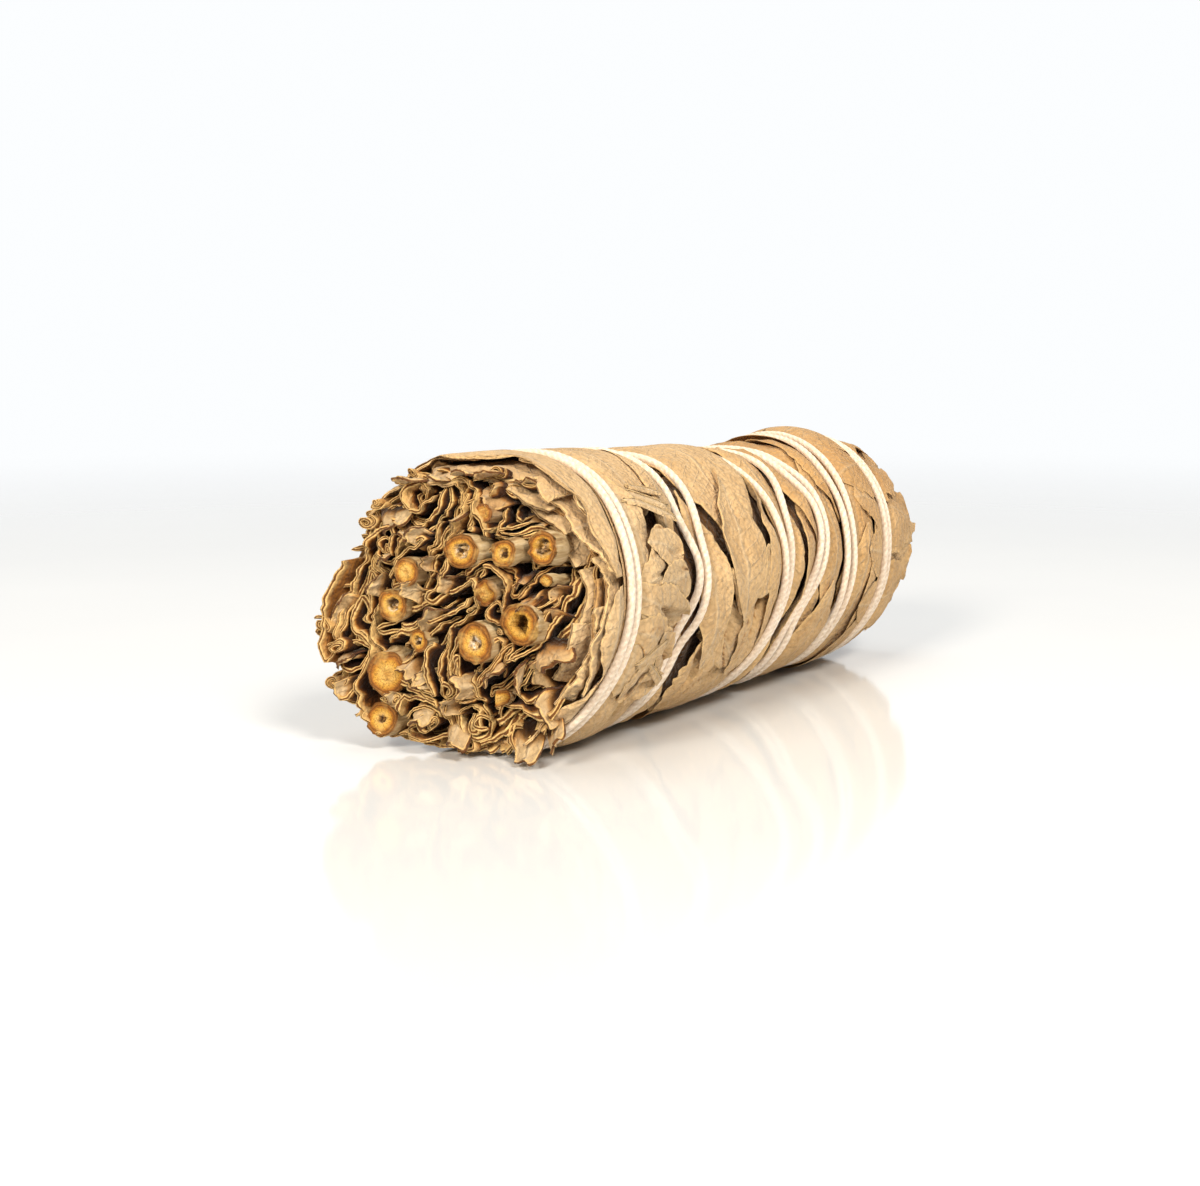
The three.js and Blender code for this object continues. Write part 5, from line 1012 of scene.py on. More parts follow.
def leaf(a, phi, heading, L, W, bend=0.0, amp=0.3, curl=0.35, th=0.40, stiff=2.2, gap=0.04, seed=0, step=0.6,
         ragged=0.05, tint=None, painted_shade=0.0, lift=0.0, p=0.8, q=0.75, pleat=None, node_name=None, fold=0.0, limit=None, sink=0.0, painted_holes=()):
    """One lanceolate leaf laid on the bunch. heading: 0 along the bunch, 90 round it upwards on the viewer's side."""
    rng = np.random.default_rng(5000 + seed)
    nx, nt = max(7, int(L / step)), max(6, int(W / step))
    x, t = np.linspace(0, 1, nx), np.linspace(-1, 1, nt)
    f = np.maximum(np.sin(np.pi * x**p), 0) ** q
    s = (x - 0.5) * L
    hw = 0.5 * W * np.maximum(f, 0.05)
    left = hw * (1 + ragged * noise(s * 0.45, seed * 1.3, 0, 61) + 0.6 * ragged * noise(s * 1.6, seed * 1.3, 0, 62))
    right = hw * (1 + ragged * noise(s * 0.45, seed * 1.7, 9, 61) + 0.6 * ragged * noise(s * 1.6, seed * 1.7, 9, 62))
    T = np.where(t[None, :] < 0, t[None, :] * left[:, None], t[None, :] * right[:, None])
    ang = np.radians(heading) + np.radians(bend) * (x - 0.5)
    ds = L / (nx - 1)
    cx = np.cumsum(np.cos(ang)) * ds
    cy = np.cumsum(np.sin(ang)) * ds
    cx -= np.interp(0.5, x, cx)
    cy -= np.interp(0.5, x, cy)
    A = a + cx[:, None] - np.sin(ang)[:, None] * T
    Q = cy[:, None] + np.cos(ang)[:, None] * T
    PH = phi + np.degrees(Q / 18.0)
    if limit is not None:
        A = limit(A, PH)
    S = np.broadcast_to(s[:, None], T.shape)
    under = laid_at(A, PH)
    b = under
    for _ in range(3):
        b = np.maximum(blur2(b, stiff), under)
    b = blur2(b, 0.8)
    if sink > 0:
        b = np.maximum(blur2(under, 4.0) - sink, 16.95 * core_size(A, PH) + 0.2)
    e = np.abs(t)[None, :]
    wr = amp * (0.5 + 0.5 * ridged(S / 6.0 + seed * 3.1, T / 2.2, 0.3 * seed, 71)) ** 1.5
    wr = wr + 0.45 * amp * (0.5 + 0.5 * ridged(S / 2.3, T / 1.3 + seed, 0.7 * seed, 73))
    wr = wr + 0.18 * amp * noise(S / 0.9, T / 0.8, seed, 75)
    side = np.where(t[None, :] < 0, 1.0, 7.0)
    rim = curl * smooth((e - 0.55) / 0.45) ** 1.6 * np.clip(0.45 + 0.9 * noise(S * 0.22, side, seed * 2.7, 77), -0.1, 1.4)
    wr = wr - 0.14 * np.exp(-(T / 0.45) ** 2)
    wr = wr + fold * np.abs(T) / (0.5 * W)
    crease_shade = 0.0
    if pleat is not None:
        so, to, count, pa = pleat
        an = np.arctan2(T - to, S - so)
        rad = np.hypot(T - to, S - so)
        ph_w = an * count / 6.283 + 0.35 * noise(rad * 0.3, an * 2, seed, 79)
        dome = 1 - np.abs(2 * (ph_w - np.floor(ph_w)) - 1) ** 2.4
        wr = wr + pa * smooth((rad - 0.5) / 6.5) * dome
        # painted shade in the creases between the pleats
        crease_shade = smooth((0.24 - dome) / 0.24) * smooth((rad - 3.0) / 3.5) * smooth(0.9 + 1.2 * noise(S * 0.3, T * 0.3, seed, 135))
    ends = lift * smooth((np.abs(x - 0.5) - 0.3) / 0.2)[:, None]
    low = b + gap + np.maximum(wr, 0) + rim + ends
    thick = th * (0.55 + 0.45 * smooth((1 - e) / 0.25)) * np.ones_like(low)
    extra_painted_shade = 0.85 * crease_shade * np.ones_like(low)
    # painted holes: each is pressed in a little and painted near-black, as the shade seen through a hole
    for hs, ht, hr in painted_holes:
        hit = smooth((hr - np.hypot((S - hs) * 0.7, T - ht)) / (0.45 * hr))
        extra_painted_shade = np.maximum(extra_painted_shade, hit)
        low = low - 0.35 * hit
    tn = rng.uniform(0.1, 0.9) if tint is None else tint
    return finish_sheet(A, PH, low, low + thick, node_name or node_at(a, phi), tn, S, T, painted_shade, extra_painted_shade=extra_painted_shade)


def roll(a, phi, heading, L, R, seed=0, tint=0.4, turns=1.7):
    """A small leaf rolled into a tube that lies on the bunch."""
    rng = np.random.default_rng(7000 + seed)
    nx, nt = int(L / 0.4), max(16, int(turns * 6.28 * R / 0.3))
    x, w = np.linspace(0, 1, nx)[:, None], np.linspace(0, 1, nt)[None, :]
    taper = 0.55 + 0.45 * np.sin(np.pi * np.clip(0.12 + 0.8 * x, 0, 1)) ** 0.8
    th = w * turns * 2 * np.pi + 2.2 + rng.uniform(-0.4, 0.4)
    rr = R * (0.28 + 0.72 * w) * taper * (1 + 0.10 * noise(x * 4, th * 0.7, seed, 121))
    skew = 1.2 * (w - 0.5) * rng.uniform(-1, 1)
    out = []
    for t in (0.0, 0.26):
        q = np.maximum(rr - 0.26 + t, 0.05)
        y, z = q * np.cos(th), q * np.sin(th)
        s = (x - 0.5) * L + skew + 0.25 * noise(w * 8, x * 0 + seed, 0, 123) * (np.abs(2 * x - 1) > 0.9)
        b = np.radians(heading)
        A = a + s * np.cos(b) - y * np.sin(b)
        Q = s * np.sin(b) + y * np.cos(b)
        H = np.mean(laid_at(a + (x - 0.5) * L * np.cos(b), phi + np.degrees((x - 0.5) * L * np.sin(b) / 18.0)))
        out.append((A, phi + np.degrees(Q / 18.0), crown(H - 0.35 + R + z)))
    top, bot = place(*out[1]), place(*out[0])
    mid = 0.5 * (top + bot)
    v, f, e = sheet_mesh(top, bot, mid, 0.22, 0.9)
    WRAP_COUNT[0] += 1
    lx, ly = np.broadcast_to(x * L, rr.shape), np.broadcast_to(w * 6 - 3, rr.shape)
    n = len(v) - 2 * rr.size
    tile = lambda q: np.concatenate([q.ravel(), q.ravel(), np.full(n, float(q.mean()))])
    make("leaf_roll_%03d" % WRAP_COUNT[0], v, f, M_WRAP, (node_at(a, phi),),
         {"edge": e, "painted_shade": np.zeros(len(v)), "lx": tile(lx), "ly": tile(ly), "tint": np.full(len(v), tint)})
    s = np.linspace(-0.5, 0.5, 24)[:, None] * L
    y = np.linspace(-1, 1, 7)[None, :] * R * 0.8
    b = np.radians(heading)
    lay(a + s * np.cos(b) - y * np.sin(b), phi + np.degrees((s * np.sin(b) + y * np.cos(b)) / 18.0), H - 0.35 + R + np.sqrt(np.maximum(R * R - y * y, 0)) + 0 * s)


def band(phi0, phi1, a_front, a_back, node_name, amp=0.25, th=0.34, seed=0, tint=0.5, painted_shade=0.0, stiff=2.5, gap=0.04, step=0.7, flare=0.0, curl=0.15, shade=None):
    """A leaf that runs from the cut edge (a_front) back to a_back between two sides; both are functions of phi."""
    nj = max(6, int((phi1 - phi0) * 0.315 / step))
    ph = np.linspace(phi0, phi1, nj)
    f0, f1 = a_front(ph), a_back(ph)
    ni = max(8, int((f1 - f0).max() / step))
    w = np.linspace(0, 1, ni)[:, None]
    w = 0.35 * w**2 + 0.65 * w
    A = f0[None, :] + (f1 - f0)[None, :] * w
    PH = np.broadcast_to(ph[None, :], A.shape) + 1.6 * noise(A * 0.25, ph[None, :] * 0.02, seed, 81)
    Q = PH * 0.314
    under = laid_at(A, PH)
    b = under
    for _ in range(3):
        b = np.maximum(blur2(b, stiff), under)
    wr = amp * (0.5 + 0.5 * ridged(A / 6.5, Q / 2.1, seed * 0.9, 83)) ** 1.4 + 0.4 * amp * (0.5 + 0.5 * ridged(A / 2.0, Q / 1.4, seed * 1.9, 85))
    d = A - f0[None, :]
    wr = wr + flare * np.exp(-d / 1.6)
    e = np.abs(np.linspace(-1, 1, nj))[None, :]
    wr = wr + curl * smooth((e - 0.8) / 0.2) * (0.5 + noise(A * 0.3, e, seed, 87))
    low = b + gap + np.maximum(wr, 0)
    lx = A - f0[None, :].mean()
    ly = Q - Q.mean()
    return finish_sheet(A, PH, low, low + th, node_name, tint, lx, ly, painted_shade, extra_painted_shade=None if shade is None else shade(A, PH))


def gap_shade(A, PH):
    """Darker where the first layer is only seen through the gaps on the viewer's side."""
    p = (PH + 180.0) % 360.0 - 180.0
    return 0.50 * window(p, -44, 56, 16) * window(A, 13, 72, 8)


# first layer all round, one sheet in each place
# both rows of under-layer bands carry painted shade: a little all over, and more in the gaps on the viewer's side
for k in range(6):
    p0 = -170.0 + 60.0 * k
    ext = [0.8, 0.2, 0.5, 1.2, 1.6, 0.4][k]
    band(p0 - 5, p0 + 65, lambda p, k=k, ext=ext: cut_at(p, ext + 4.0 * open_side(p), 0.6 + 1.0 * open_side(p), k), lambda p, k=k: 47.0 + 2.0 * noise(p * 0.05, k, 0, 95),
         "wrap_leaf_%02d" % (k + 1), amp=0.30, seed=k + 1, tint=0.5, painted_shade=0.16, th=0.40, step=0.9, shade=gap_shade)
for k in range(6):
    p0 = -170.0 + 60.0 * k
    band(p0 - 5, p0 + 65, lambda p, k=k: 43.0 + 2.0 * noise(p * 0.06, k, 3, 95),
         lambda p, k=k: 95.5 + 2.2 * noise(p * 0.10, k, 5, 95) + 0.9 * noise(p * 0.5, k, 6, 95),
         "wrap_leaf_%02d" % (k + 7), amp=0.30, seed=k + 11, tint=0.65, painted_shade=0.12, th=0.40, step=0.9, shade=gap_shade)

# layers at the cut end: their edges show as folded rings at the rim
RIM = [
    # phi0, phi1, back of the face, reaches to a, thickness, tint, flare
    (-62, 4, -0.6, 11.0, 0.36, 0.25, 0.10), (-30, 24, -0.2, 12.0, 0.36, 0.2, 0.15), (14, 62, 0.3, 13.5, 0.40, 0.3, 0.2),
    (52, 112, -0.2, 14.0, 0.42, 0.35, 0.1), (112, 178, 3.0, 12.0, 0.36, 0.5, 0.1), (166, 228, 3.4, 12.0, 0.36, 0.5, 0.0),
    (216, 276, 2.8, 11.0, 0.34, 0.5, 0.0), (262, 312, 1.4, 10.5, 0.34, 0.4, 0.1),
    (-20, 12, 0.9, 10.5, 0.36, 0.15, 0.5), (30, 76, 1.4, 14.5, 0.45, 0.3, 0.4), (92, 150, 2.6, 13.0, 0.36, 0.35, 0.1),
]
for i, (p0, p1, bk, to, th, tn, fl) in enumerate(RIM):
    band(p0, p1, lambda p, i=i, bk=bk: cut_at(p, bk, 1.25 + 0.3 * open_side(p), 20 + i), lambda p, i=i, to=to: to + 1.2 * noise(p * 0.06, i, 7, 95),
         node_at(5.0, 0.5 * (p0 + p1)), amp=0.34, th=th, seed=30 + i, tint=tn, flare=fl, step=0.45)

def flap(phi0, phi1, back0, back1, r0, r1, wave, turns, seed, tint):
    """A leaf end turned across the face in the hollow under the rim."""
    ph = np.linspace(phi0, phi1, int((phi1 - phi0) * 0.9))[None, :]
    w = np.linspace(0, 1, 16)[:, None]
    k = (ph - phi0) / (phi1 - phi0)
    A = cut_at(ph, back0, 0.7, seed) + (back1 - back0) * w + 0.4 * noise(ph * 0.12, w * 2, seed, 131)
    r = r0 + (r1 - r0) * w**0.8 + wave * np.sin(6.283 * turns * k + seed) * (1 - 0.7 * w) + 0.18 * noise(ph * 0.15, w * 3, seed, 133)
    PH = ph + 0 * w
    top, bot = place(A, PH, r + 0.40), place(A, PH, r)
    v, f, e = sheet_mesh(top, bot, 0.5 * (top + bot), 0.22, 0.9)
    WRAP_COUNT[0] += 1
    q = np.concatenate([(ph * 0.3 + 0 * w).ravel()] * 2 + [np.full(len(v) - 2 * A.size, 2.0)])
    z = np.concatenate([(4 * w - 2 + 0 * ph).ravel()] * 2 + [np.full(len(v) - 2 * A.size, 2.0)])
    make("leaf_flap_%03d" % WRAP_COUNT[0], v, f, M_WRAP, (node_at(5.0, 0.5 * (phi0 + phi1)),),
         {"edge": e, "painted_shade": np.zeros(len(v)), "lx": q, "ly": z, "tint": np.full(len(v), tint)})


flap(40, 68, 0.2, 5.4, 13.9, 15.9, 0.35, 1.0, 1, 0.15)
flap(24, 50, 0.6, 5.8, 12.9, 15.2, 0.40, 1.2, 2, 0.2)
flap(52, 82, -0.4, 4.6, 14.9, 16.3, 0.30, 0.8, 3, 0.25)
flap(-36, -3, 0.1, 4.8, 13.3, 15.8, 0.25, 0.8, 4, 0.05)
flap(-4, 22, 0.6, 5.2, 13.9, 15.8, 0.25, 0.9, 5, 0.1)

keep_cut = lambda A, PH: np.maximum(A, cut_at(PH, 0.5 + 3.2 * open_side(PH), 1.0, 77))

# leaves round the back, the far side and underneath
rngb = np.random.default_rng(77)
rows = [(11, 5), (24, 5), (38, 5), (52, 5), (64, 5), (77, 5)]
n = 0
for a, count in rows:
    for j in range(count):
        phi = 142 + (j + rngb.uniform(-0.25, 0.25)) * (132.0 / (count - 1))
        n += 1
        head = rngb.choice([rngb.uniform(62, 108), rngb.uniform(62, 108), rngb.uniform(-25, 35)])
        L, W = rngb.uniform(22, 29), rngb.uniform(11, 16)
        leaf(a + rngb.uniform(-2.5, 2.5), phi, head, L, W, bend=rngb.uniform(-25, 25), amp=rngb.uniform(0.15, 0.34), curl=rngb.uniform(0.1, 0.5),
             seed=200 + n, step=0.75, stiff=2.6, limit=keep_cut)

# ------------------------------------------------------------------ leaves on the viewer's side and on top
# a, phi, heading, length, width, then what is not usual about it
leaf(6.5, 84, 84, 44, 13, amp=0.14, curl=0.15, seed=1, tint=0.35, limit=keep_cut)
leaf(21.0, 108, 84, 44, 17, amp=0.3, curl=0.25, seed=33, tint=0.35)
leaf(20.0, 98, 84, 36, 16, amp=0.22, curl=0.6, seed=2, tint=0.35)
leaf(36.0, -50, 74, 26, 14, amp=0.45, curl=0.6, seed=16, tint=0.55)
leaf(18.0, -54, 70, 24, 12, amp=0.4, curl=0.6, seed=6, tint=0.5)
leaf(8.0, -42, 80, 22, 8, amp=0.3, curl=0.4, seed=7, tint=0.4, limit=keep_cut)
# this leaf has two holes, painted near-black as shade
leaf(4.6, -20, 84, 19, 7.0, amp=0.12, curl=0.25, seed=35, tint=0.2, step=0.3, q=0.5, limit=lambda A, PH: np.maximum(A, cut_at(PH, -0.2, 0.7, 78)), painted_holes=((-1.6, 0.7, 0.6), (-4.2, 0.2, 0.45)))
leaf(12.2, 20, 80, 34, 6.6, amp=0.16, curl=0.3, seed=3, tint=0.3)
leaf(25.4, 62, 76, 22, 5.6, amp=0.25, curl=0.9, seed=4, tint=0.45)
leaf(22.8, -12, 86, 21, 5.2, amp=0.16, curl=0.4, seed=5, tint=0.85, sink=0.2)
# the crumpled folds between the first two ties
leaf(13.6, 26, 82, 20, 6.4, amp=0.2, curl=0.5, ragged=0.12, seed=43, tint=0.25, step=0.4, sink=0.1)
leaf(17.0, 13.0, 8, 11, 10.0, bend=-14, amp=0.35, ragged=0.2, curl=0.7, seed=8, tint=0.2, pleat=(-6.5, 0.5, 15, 1.25), step=0.30, sink=0.2, p=1.5, q=0.5)
leaf(18.0, 23, -16, 7.5, 5.4, bend=-20, amp=0.3, ragged=0.2, curl=0.9, seed=9, tint=0.25, pleat=(-5.5, 0.4, 13, 1.0), step=0.30, sink=0.25, p=1.5, q=0.5)
leaf(18.4, 10, 6, 7.0, 5.0, bend=16, amp=0.3, ragged=0.2, curl=1.0, seed=41, tint=0.15, pleat=(-5.0, 0.3, 12, 1.0), step=0.30, sink=0.25, p=1.5, q=0.5)
leaf(15.0, 0.0, -22, 14, 5.6, bend=34, amp=0.4, ragged=0.2, curl=1.2, seed=10, tint=0.2, step=0.30, fold=0.8, sink=0.7, p=1.4, q=0.55, pleat=(-8.0, -1.0, 14, 1.6))
leaf(13.4, -10.0, -20, 12, 5.0, bend=-24, amp=0.5, ragged=0.25, curl=1.1, seed=11, tint=0.3, step=0.30, fold=0.7, sink=0.7, pleat=(-6.5, 0.4, 12, 1.5), p=1.2)
leaf(17.2, -20, -58, 8, 4.0, bend=20, amp=0.6, ragged=0.3, curl=1.0, seed=12, tint=0.4, step=0.30, sink=0.8, pleat=(-4.5, 0.2, 11, 1.2))
leaf(12.4, -25, 64, 8, 3.6, amp=0.6, ragged=0.3, curl=1.0, seed=13, tint=0.35, step=0.30, sink=0.8, pleat=(-4.5, 0.2, 11, 1.2))
leaf(15.4, -32, 16, 8, 3.8, amp=0.6, ragged=0.3, curl=1.0, seed=14, tint=0.4, step=0.30, sink=0.8, pleat=(-4.5, 0.2, 11, 1.2))
roll(18.2, 43.5, -22, 9.0, 0.95, seed=1, tint=0.3)
roll(18.6, 38.6, -24, 8.4, 0.85, seed=2, tint=0.25)
roll(20.6, 47.5, -16, 6.0, 0.7, seed=3, tint=0.35)
roll(13.6, -16.5, 24, 6.0, 0.75, seed=4, tint=0.3)
roll(16.6, -27.5, -34, 6.5, 0.7, seed=5, tint=0.35)
# between the second and third ties
leaf(41.0, 84, 82, 40, 16, amp=0.24, curl=0.5, seed=15, tint=0.4)
leaf(32.6, -14, -58, 17, 7.4, bend=25, amp=0.6, curl=1.2, seed=19, tint=0.35, step=0.38, sink=0.2, ragged=0.2, q=0.6, pleat=(-9.0, 0.0, 14, 0.8))
leaf(40.2, -14, 66, 17, 6.4, bend=-20, amp=0.8, curl=1.2, seed=20, tint=0.5, step=0.38, sink=0.25, ragged=0.25, pleat=(-9.0, 0.0, 18, 0.9))
leaf(42.0, 8, 34, 11, 5.4, amp=0.9, curl=1.3, seed=34, tint=0.5, step=0.38, sink=0.3, ragged=0.3, pleat=(-6.0, 0.0, 16, 0.8))
leaf(28.2, -33, 74, 16, 7.4, amp=0.5, curl=0.9, seed=42, tint=0.55, step=0.38, sink=0.3, ragged=0.2, pleat=(-8.0, 0.4, 12, 1.2))
leaf(45.4, 6, 80, 30, 5.4, amp=0.7, curl=1.1, seed=17, tint=0.6, step=0.42, sink=0.2, ragged=0.15)
leaf(29.6, 10, 84, 26, 5.6, amp=0.4, curl=0.9, seed=36, tint=0.4, step=0.42, sink=0.1, ragged=0.12)
roll(34.2, 0.0, -66, 6.5, 0.75, seed=6, tint=0.4)
leaf(38.0, 22, -104, 22, 9.6, bend=10, amp=0.3, curl=0.9, seed=18, tint=0.42, p=1.3, q=0.9, step=0.42, ragged=0.08)
leaf(45.0, -34, 78, 20, 5.6, amp=0.45, curl=0.7, seed=21, tint=0.6)
# behind the third tie the leaves run round the bunch in bands
leaf(53.0, 46, 80, 42, 7.0, amp=0.26, curl=0.5, seed=22, tint=0.62)
leaf(56.4, -8, 78, 32, 7.4, amp=0.34, curl=0.6, seed=23, tint=0.6)
leaf(63.0, 70, 80, 38, 10, amp=0.34, curl=0.5, seed=24, tint=0.75)
leaf(65.0, 16, 78, 34, 7.0, amp=0.28, curl=0.6, seed=25, tint=0.7)
leaf(60.0, -42, 76, 24, 11, amp=0.34, curl=0.5, seed=26, tint=0.65)
leaf(75.0, 78, 74, 36, 15, amp=0.5, curl=0.5, seed=27, tint=0.9)
leaf(76.0, 92, 84, 24, 12, amp=0.9, curl=0.6, seed=32, tint=0.95)
leaf(73.6, 24, 76, 34, 7.5, amp=0.34, curl=0.6, seed=28, tint=0.75)
leaf(72.0, -24, 76, 28, 10, amp=0.38, curl=0.5, seed=29, tint=0.7)
leaf(79.0, 2, 74, 32, 7.0, amp=0.34, curl=0.5, seed=30, tint=0.72)
leaf(78.0, -48, 78, 24, 12, amp=0.38, curl=0.5, seed=31, tint=0.7)
# the tip: leaf ends that run out past the last tie
rngt = np.random.default_rng(909)
for j in range(13):
    phi = j * 27.7 + rngt.uniform(-6, 6)
    leaf(85.5 + rngt.uniform(-2.0, 1.5), phi, rngt.uniform(-22, 22), rngt.uniform(17, 23), rngt.uniform(11, 15), bend=rngt.uniform(-20, 20),
         amp=0.30, curl=0.7, seed=400 + j, step=0.6, ragged=0.24, tint=rngt.uniform(0.5, 0.95), p=1.05, q=0.55, stiff=2.2, lift=0.1)

# ------------------------------------------------------------------ string
def cord_mesh(path, out, name, node_name, radius, pitch=3.0, ply_d=0.17, seg=18, lead=0.0):
    """A three-ply twisted cord along a line of points; out is a direction away from the bunch at each point."""
    path = np.asarray(path, float)
    q, s = resample(np.concatenate([path, out], 1), 0.42)
    p, o = q[:, :3], q[:, 3:]
    t = np.gradient(p, axis=0)
    t /= np.linalg.norm(t, axis=1)[:, None]
    o = o - (o * t).sum(1)[:, None] * t
    o /= np.linalg.norm(o, axis=1)[:, None]
    b = np.cross(t, o)
    th = np.linspace(0, 2 * np.pi, seg, endpoint=False)
    tw = 2 * np.pi * s / pitch + lead
    d, rho = ply_d * radius, (1 - ply_d) * radius
    rr = np.zeros((len(s), seg))
    for k in range(3):
        dl = th[None, :] - tw[:, None] - k * 2 * np.pi / 3
        rr = np.maximum(rr, d * np.cos(dl) + np.sqrt(np.maximum(rho**2 - (d * np.sin(dl)) ** 2, 1e-6)))
    # how deep each point lies in the grooves between the plies, for their painted shade
    groove_shade = np.clip((radius - rr) / (radius - rr.min() + 1e-9), 0, 1)
    rr = rr * (1 + 0.05 * noise(s[:, None] * 0.5, np.cos(th)[None, :], np.sin(th)[None, :], 101))
    ends = np.minimum(s, s[-1] - s)
    rr = rr * (0.55 + 0.45 * smooth(ends / 0.5))[:, None]
    P = p[:, None, :] + rr[:, :, None] * (np.cos(th)[None, :, None] * o[:, None, :] + np.sin(th)[None, :, None] * b[:, None, :])
    P[..., 2] = np.maximum(P[..., 2], 0.02)
    n = len(s)
    idx = np.arange(n * seg).reshape(n, seg)
    nx = np.roll(idx, -1, axis=1)
    faces = np.stack([idx[:-1], nx[:-1], nx[1:], idx[1:]], -1).reshape(-1, 4).tolist()
    c0, c1 = n * seg, n * seg + 1
    faces += [(c0, int(nx[0, j]), int(idx[0, j])) for j in range(seg)]
    faces += [(c1, int(idx[-1, j]), int(nx[-1, j])) for j in range(seg)]
    verts = np.concatenate([P.reshape(-1, 3), p[:1], p[-1:]])
    ply = np.concatenate([groove_shade.ravel(), [0.0, 0.0]])
    return make(name, verts, faces, M_STRING, (node_name,), {"ply": ply})


def string_height(a, phi):
    """Where the middle of the string lies: on the leaves it presses in."""
    h = laid_at(a, phi)
    for da in (-0.5, 0.5):
        h = np.maximum(h, laid_at(a + da, phi) - 0.12)
    return h


STR_R = 0.51
TH = np.arange(WIND_START, WIND_END + 0.01, 1.0)
heights = []
for s in (0, 1):
    h = crown(string_height(wound(TH, s), TH))
    hb = blur1(h[:, None], 7.0)[:, 0]
    hb = np.maximum(hb, h - 0.45)
    heights.append(blur1(hb[:, None], 4.0)[:, 0] - PINCH + 0.38)


def string_points(th, a, r):
    p = place(a, th, r, pinch=False)
    t = np.radians(th)
    o = np.stack([0 * t, -np.cos(t), np.sin(t)], -1)
    # the lower turns lie between the leaves and the surface
    low = p[:, 2] < STR_R + 0.02
    p[low, 2] = STR_R + 0.02
    return p, o


# one length, doubled: strand A backwards to the loop's end, round it, and strand B forwards
pa, oa = string_points(TH, wound(TH, 0), heights[0])
pb, ob = string_points(TH, wound(TH, 1), heights[1])
a0, a1 = float(wound(WIND_START, 0)), float(wound(WIND_START, 1))
am = 0.5 * (a0 + a1)
rad = 0.5 * (a1 - a0)
w = np.linspace(0, np.pi, 16)[1:-1]
loop_a = am - rad * np.cos(w)
loop_th = WIND_START - np.degrees(rad * np.sin(w) / 18.0)
loop_r = np.linspace(heights[0][0], heights[1][0], len(w))
pl, ol = string_points(loop_th, loop_a, loop_r)
PATH = np.concatenate([pa[::-1], pl, pb])
OUT = np.concatenate([oa[::-1], ol, ob])
cord_mesh(PATH, OUT, "string_wound", "tie_string", STR_R)

# the knot on the far side: the two strands crossed over each other in a flat overhand knot, with two cut tails
KN_PHI, KN_A = WIND_END + 6.0, 85.75
kr = float(np.max(heights[0][-6:])) + 0.5


def local(x, y, z):
    """x along the winding, y along the bunch, z outwards, round the knot's middle."""
    ph = KN_PHI + np.degrees(np.asarray(x) / 14.5)
    return place(KN_A + np.asarray(y), ph, kr + np.asarray(z), pinch=False), ph


k = np.linspace(0, 2 * np.pi, 90)
kx = 1.25 * np.sin(k) + 0.6 * np.sin(2 * k)
ky = 1.15 * np.cos(k) - 0.75 * np.cos(2 * k)
kz = 0.35 + 0.62 * np.sin(3 * k)
lead_in = np.stack([np.linspace(-3.2, kx[0], 14)[:-1], np.linspace(-0.75, ky[0], 14)[:-1], np.linspace(-0.4, kz[0], 14)[:-1]], 1)
w = np.linspace(0, 1, 30)
tail1 = np.stack([kx[-1] + 7.6 * w, ky[-1] + 1.6 * w + 0.5 * np.sin(w * 3), kz[-1] - (kz[-1] + 0.05) * smooth(w / 0.5)], 1)
knot1 = np.concatenate([lead_in, np.stack([kx, ky, kz], 1), tail1[1:]])
P1, ph1 = local(knot1[:, 0], knot1[:, 1], knot1[:, 2])
t1 = np.radians(ph1)
cord_mesh(P1, np.stack([0 * t1, -np.cos(t1), np.sin(t1)], -1), "string_knot_a", "string_knot", STR_R * 0.97, lead=0.4)
kx2, ky2, kz2 = 1.2 * np.sin(k + 0.6) - 0.5 * np.sin(2 * k), 1.2 * np.cos(k + 0.6) * 0.9 + 0.2, 0.55 + 0.55 * np.sin(2 * k + 0.8)
lead2 = np.stack([np.linspace(-3.2, kx2[0], 14)[:-1], np.linspace(0.75, ky2[0], 14)[:-1], np.linspace(-0.4, kz2[0], 14)[:-1]], 1)
tail2 = np.stack([kx2[-1] + 6.8 * w, ky2[-1] - 1.9 * w - 0.4 * np.sin(w * 2.5), kz2[-1] - (kz2[-1] + 0.05) * smooth(w / 0.5)], 1)
knot2 = np.concatenate([lead2, np.stack([kx2, ky2, kz2], 1), tail2[1:]])
P2, ph2 = local(knot2[:, 0], knot2[:, 1], knot2[:, 2])
t2 = np.radians(ph2)
cord_mesh(P2, np.stack([0 * t2, -np.cos(t2), np.sin(t2)], -1), "string_knot_b", "string_knot", STR_R * 0.97, lead=1.9)


# ------------------------------------------------------------------ floor, light and camera
def floor_material():
    m, nt, bs = new_material("studio_floor")
    tc = nt.nodes.new("ShaderNodeTexCoord")
    n1 = noise_node(nt, tc.outputs["Object"], 9.0, 3.0, 0.5)
    col = ramp(nt, n1.outputs["Fac"], [(0.35, srgb(225, 226, 227)), (0.65, srgb(229, 230, 230))]).outputs[0]
    nt.links.new(col, bs.inputs["Base Color"])
    bs.inputs["Roughness"].default_value = 0.10
    bs.inputs["IOR"].default_value = 1.5
    # the sheet runs out softly into the white studio
    ln = nt.nodes.new("ShaderNodeVectorMath")
    ln.operation = "LENGTH"
    nt.links.new(tc.outputs["Object"], ln.inputs[0])
    fade = ramp(nt, ln.outputs["Value"], [(0.16, (1, 1, 1)), (0.62, (0, 0, 0))], "EASE").outputs[0]
    nt.links.new(fade, bs.inputs["Alpha"])
    return m


def floor():
    """A large flat sheet, divided into an even grid."""
    g = np.linspace(-0.9, 0.9, 37)
    n = len(g)
    verts = [(x, y, 0.0) for x in g for y in g]
    faces = [(i * n + j, (i + 1) * n + j, (i + 1) * n + j + 1, i * n + j + 1) for i in range(n - 1) for j in range(n - 1)]
    me = bpy.data.meshes.new("studio_floor")
    me.from_pydata(verts, [], faces)
    me.materials.append(floor_material())
    ob = bpy.data.objects.new("studio_floor", me)
    bpy.context.scene.collection.objects.link(ob)


floor()


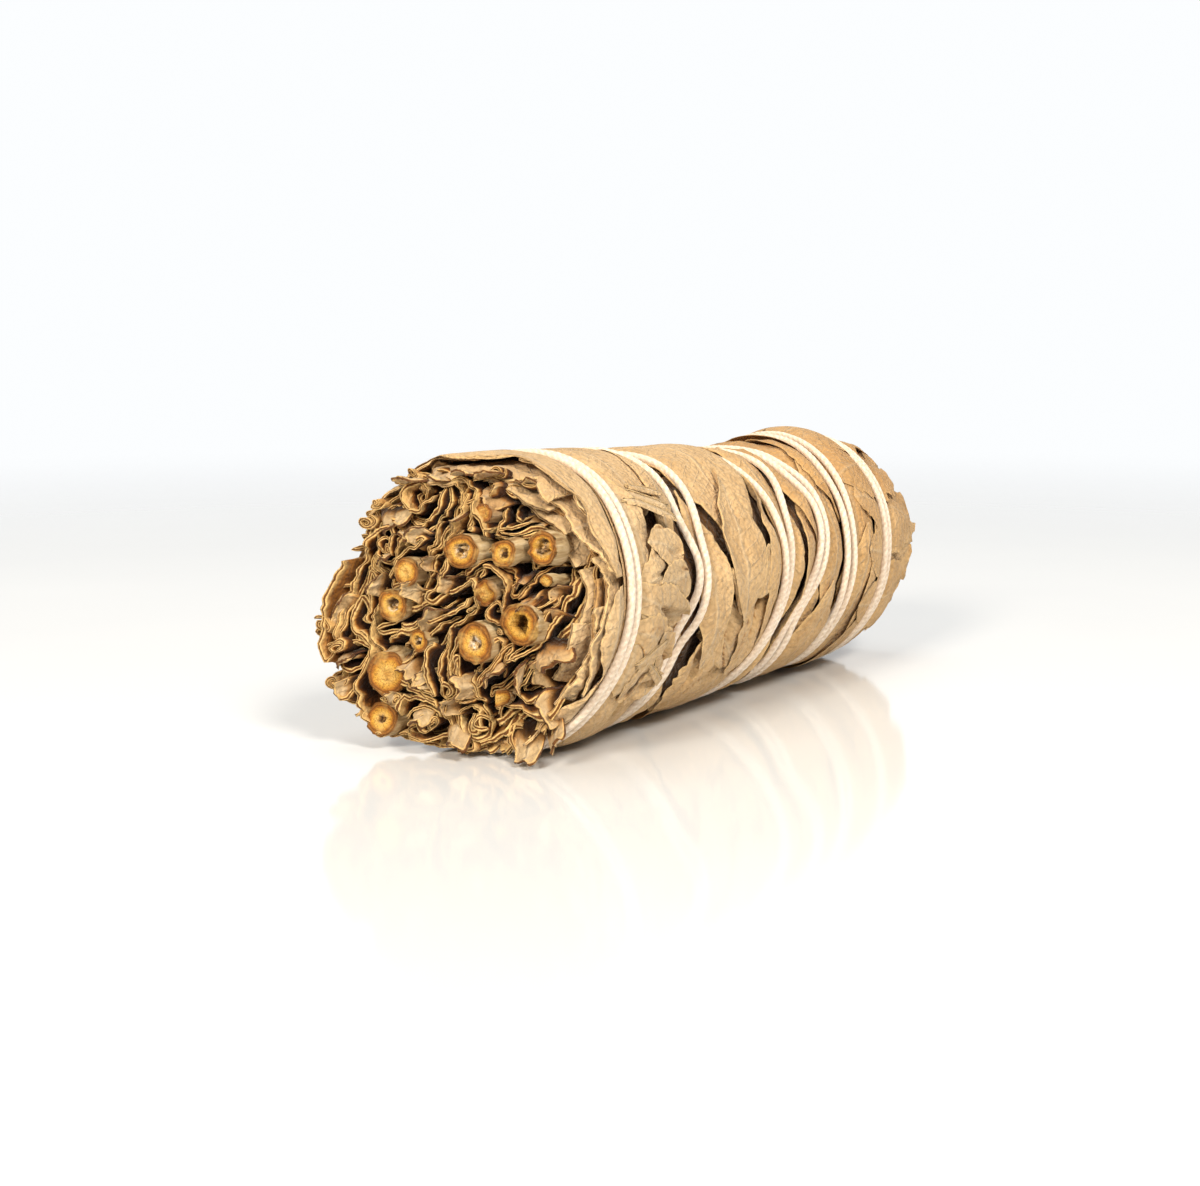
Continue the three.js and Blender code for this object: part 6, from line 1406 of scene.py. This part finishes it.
def area_light(name, loc, target, size, power, color=(1, 1, 1), size_y=None):
    li = bpy.data.lights.new(name, "AREA")
    li.energy = power
    li.color = color
    li.shape = "RECTANGLE"
    li.size = size
    li.size_y = size_y or size
    ob = bpy.data.objects.new(name, li)
    ob.location = loc
    ob.rotation_euler = (Vector(target) - Vector(loc)).to_track_quat("-Z", "Y").to_euler()
    bpy.context.scene.collection.objects.link(ob)
    return ob


area_light("key", (-0.30, -0.58, 0.58), (-0.01, 0, 0.02), 0.22, 6.4, (1.0, 0.95, 0.87))
area_light("front", (-0.72, -0.08, 0.42), (-0.05, 0, 0.02), 0.20, 5.8, (1.0, 0.92, 0.80))
area_light("top", (0.05, 0.15, 0.80), (0.0, 0, 0.02), 0.5, 2.0, (1.0, 0.97, 0.92))

# white studio all round: bright where it is seen or mirrored, softer as light on the bunch
world = bpy.data.worlds.new("studio")
world.use_nodes = True
wt = world.node_tree
bg = wt.nodes["Background"]
bg.inputs["Color"].default_value = (0.972, 0.988, 1.0, 1.0)
lp = wt.nodes.new("ShaderNodeLightPath")
seen = wt.nodes.new("ShaderNodeMath")
seen.operation = "MAXIMUM"
wt.links.new(lp.outputs["Is Camera Ray"], seen.inputs[0])
wt.links.new(lp.outputs["Is Glossy Ray"], seen.inputs[1])
level = wt.nodes.new("ShaderNodeMapRange")
level.inputs["To Min"].default_value = 0.23
level.inputs["To Max"].default_value = 1.0
wt.links.new(seen.outputs[0], level.inputs["Value"])
wt.links.new(level.outputs[0], bg.inputs["Strength"])
bpy.context.scene.world = world
vs = bpy.context.scene.view_settings
vs.view_transform = "Standard"
vs.look = "None"
vs.exposure = 0.0

cam = bpy.data.cameras.new("camera")
cam.lens = 51.0
cam.sensor_width = 36.0
cam.sensor_fit = "HORIZONTAL"
cam.clip_start, cam.clip_end = 0.01, 20.0
cam_ob = bpy.data.objects.new("camera", cam)
cam_ob.location = (-0.204290, -0.125220, 0.049058)
cam_ob.rotation_euler = Vector((0.82056, 0.55348, -0.14263)).to_track_quat("-Z", "Y").to_euler()
bpy.context.scene.collection.objects.link(cam_ob)
bpy.context.scene.camera = cam_ob
